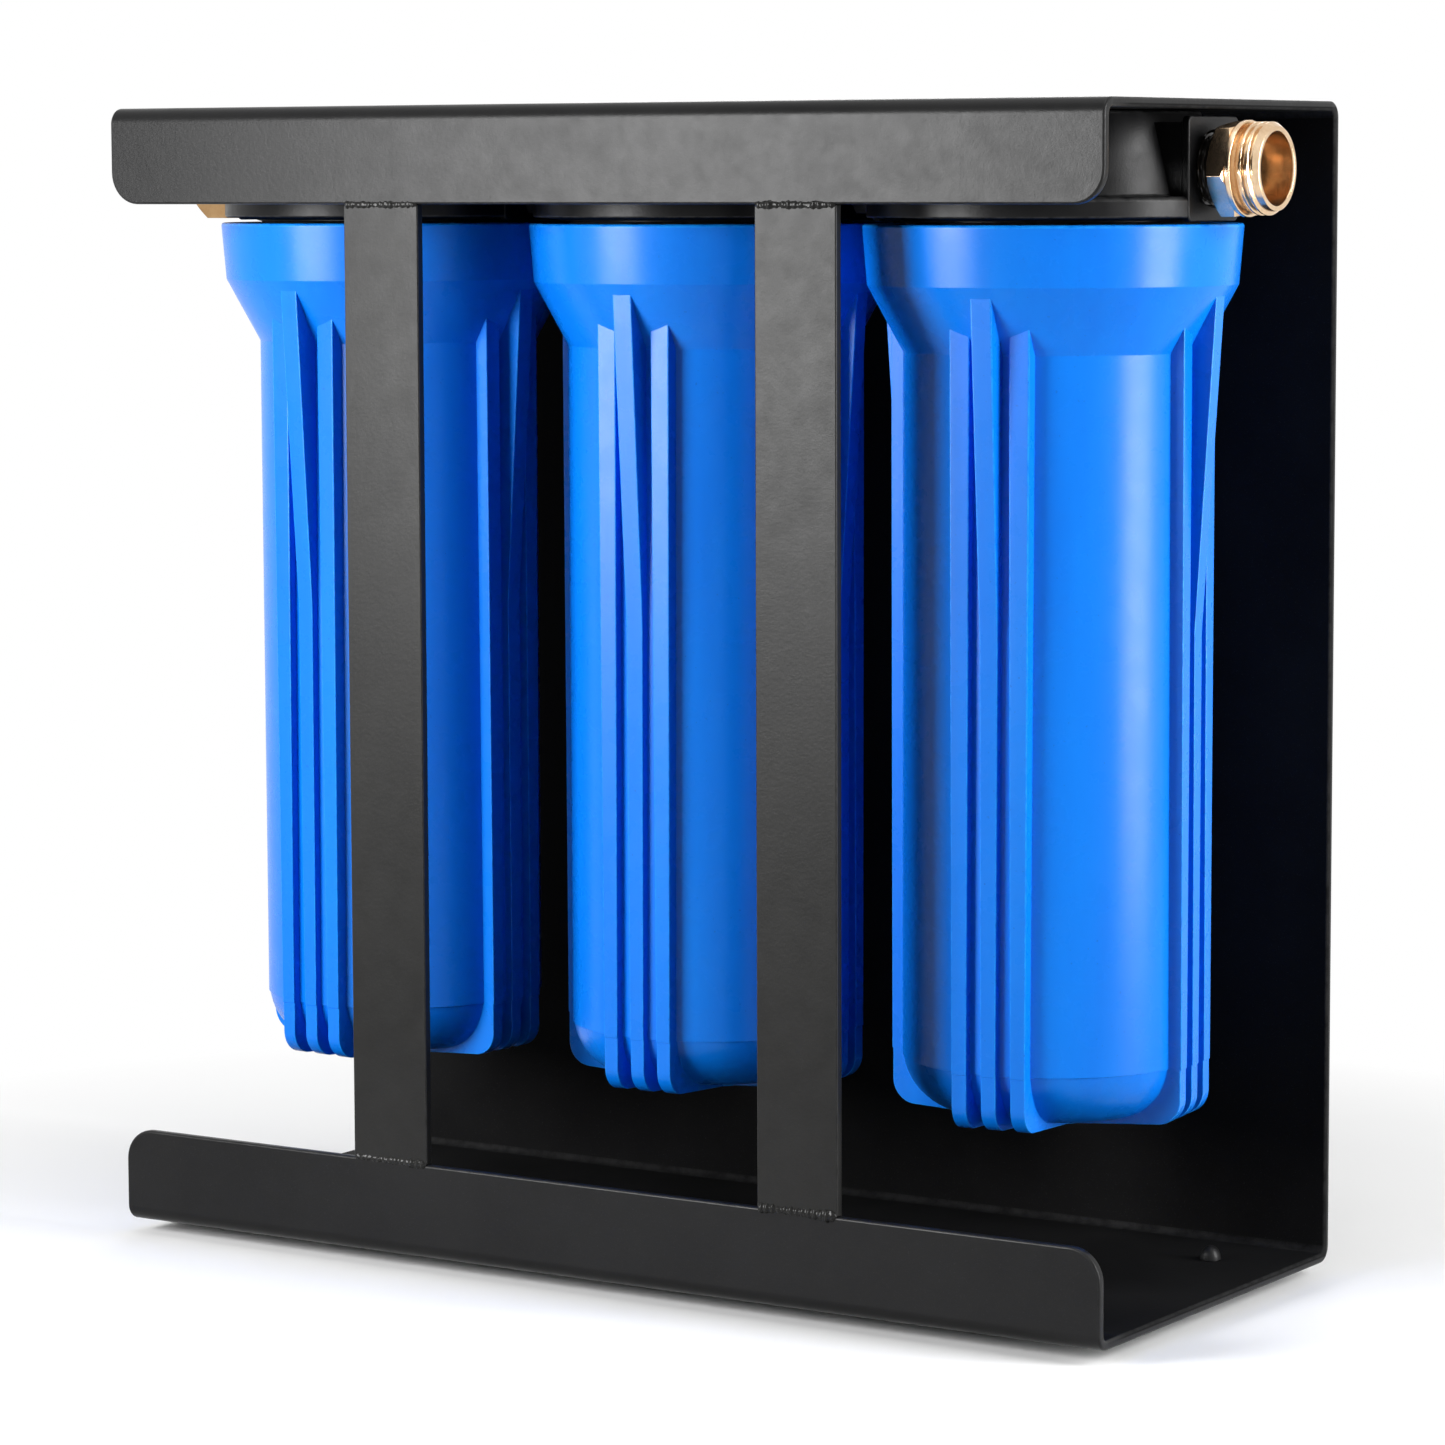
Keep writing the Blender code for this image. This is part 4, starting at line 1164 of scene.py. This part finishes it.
studio = {
    "floorSize": 8.0,
    "floorColour": (0.95, 0.95, 0.95),
    "floorBounce": (0.30, 0.30, 0.30),  # what it throws back up at the object
    "floorClouds": (3, 3),
    "floorPaler": 1.02,
    "floorShine": (40, 3),
    "floorRoughness": (0.75, 0.85),
    "fadeFrom": 0.19,  # from the origin, where the floor turns into the white background
    "fadeTo": 0.42,
    "worldLight": 0.06,
    "energyShare": 4,  # a softbox's energy is its area times four radiances
    "overhead": 0.5,  # a softbox nearer than this stands above and looks down
}
softboxes = {
    # name: azimuth of the box seen from the object, distance, height of its middle, width, height, radiance
    "leftBox": (-26.6, 0.86, 0.40, 0.37, 0.46, 17.0),
    "rightBox": (95.2, 0.92, 0.44, 0.32, 0.80, 12.5),
    "topBox": (0, 0.25, 2.20, 1.20, 0.80, 2.0),
    "backBox": (205, 2.50, 1.00, 1.00, 1.00, 3.0),
}
view = {
    "lens": 126.36,
    "position": (0.8567, -1.3232, 0.3390),
    "azimuth": 32.8198,
    "pitch": 6.1682,
    "roll": -0.2094,
    "sensor": 36,
    "clip": (0.05, 50),
}


def seenShare(tree):
    # 1 for rays that show in the picture, straight or by way of a shiny or clear surface.
    rays = tree.nodes.new("ShaderNodeLightPath")
    seen = rays.outputs["Is Camera Ray"]
    for kind in ("Is Glossy Ray", "Is Transmission Ray"):
        either = tree.nodes.new("ShaderNodeMath")
        either.operation = "MAXIMUM"
        tree.links.new(seen, either.inputs[0])
        tree.links.new(rays.outputs[kind], either.inputs[1])
        seen = either.outputs[0]
    return seen


def paleFloor():
    work = bmesh.new()
    half = studio["floorSize"] / 2
    corners = ((-half, -half), (half, -half), (half, half), (-half, half))
    work.faces.new([work.verts.new((x, y, 0)) for x, y in corners])
    floor = loose(toMesh(work, "floor"), "floor")
    paint = Finish("floorPaint")
    seen = seenShare(paint.tree)
    paler = tuple(c * studio["floorPaler"] for c in studio["floorColour"])
    pale = paint.blend(paint.grain(*studio["floorClouds"]), studio["floorColour"], paler)
    colour = paint.blend(seen, studio["floorBounce"], pale)
    shine = paint.uneven(studio["floorShine"], *studio["floorRoughness"])
    surface = paint.done(colour, shine)
    glow = paint.add("ShaderNodeEmission", {"Color": (1, 1, 1, 1), "Strength": 1.0})
    far = paint.add("ShaderNodeVectorMath", {0: paint.where}, operation="LENGTH").outputs["Value"]
    share = paint.times(seen, paint.spread(far, 0, 1, studio["fadeFrom"], studio["fadeTo"]))
    mix = paint.add("ShaderNodeMixShader", {0: share, 1: paint.shader.outputs[0], 2: glow.outputs[0]})
    paint.tree.links.new(mix.outputs[0], paint.tree.nodes["Material Output"].inputs["Surface"])
    floor.data.materials.append(surface)


def whiteWorld():
    world = bpy.data.worlds.new("studio")
    bpy.context.scene.world = world
    world.use_nodes = True
    tree = world.node_tree
    base, white = tree.nodes["Background"], tree.nodes.new("ShaderNodeBackground")
    for glow, strength in ((base, studio["worldLight"]), (white, 1.0)):
        glow.inputs["Color"].default_value = (1, 1, 1, 1)
        glow.inputs["Strength"].default_value = strength
    mix = tree.nodes.new("ShaderNodeMixShader")
    for i, source in enumerate((seenShare(tree), base.outputs[0], white.outputs[0])):
        tree.links.new(source, mix.inputs[i])
    tree.links.new(mix.outputs[0], tree.nodes["World Output"].inputs["Surface"])


def softbox(name, azimuth, distance, height, width, tall, radiance):
    lamp = bpy.data.lights.new(name, "AREA")
    lamp.shape = "RECTANGLE"
    lamp.size, lamp.size_y = width, tall
    lamp.energy = radiance * width * tall * studio["energyShare"]
    thing = bpy.data.objects.new(name, lamp)
    angle = math.radians(azimuth)
    thing.location = (distance * math.sin(angle), -distance * math.cos(angle), height)
    aim = Vector((0, 0, height if distance > studio["overhead"] else 0)) - thing.location
    thing.rotation_euler = aim.to_track_quat("-Z", "Y").to_euler()
    bpy.context.scene.collection.objects.link(thing)


def photoCamera():
    lens = bpy.data.cameras.new("camera")
    lens.sensor_width = view["sensor"]
    lens.lens = view["lens"]
    lens.clip_start, lens.clip_end = view["clip"]
    thing = bpy.data.objects.new("camera", lens)
    bpy.context.scene.collection.objects.link(thing)
    azimuth, pitch, roll = (math.radians(view[key]) for key in ("azimuth", "pitch", "roll"))
    level = math.cos(pitch)
    ahead = Vector((-math.sin(azimuth) * level, math.cos(azimuth) * level, -math.sin(pitch)))
    side = Vector((math.cos(azimuth), math.sin(azimuth), 0))
    up = side.cross(ahead)
    across = side * math.cos(roll) + up * math.sin(roll)
    upright = up * math.cos(roll) - side * math.sin(roll)
    turn = Matrix((across, upright, -ahead)).transposed()
    thing.matrix_world = Matrix.Translation(view["position"]) @ turn.to_4x4()
    bpy.context.scene.camera = thing


paleFloor()
whiteWorld()
for name, values in softboxes.items():
    softbox(name, *values)
photoCamera()
bpy.context.scene.view_settings.view_transform = "Standard"
print("studio done")
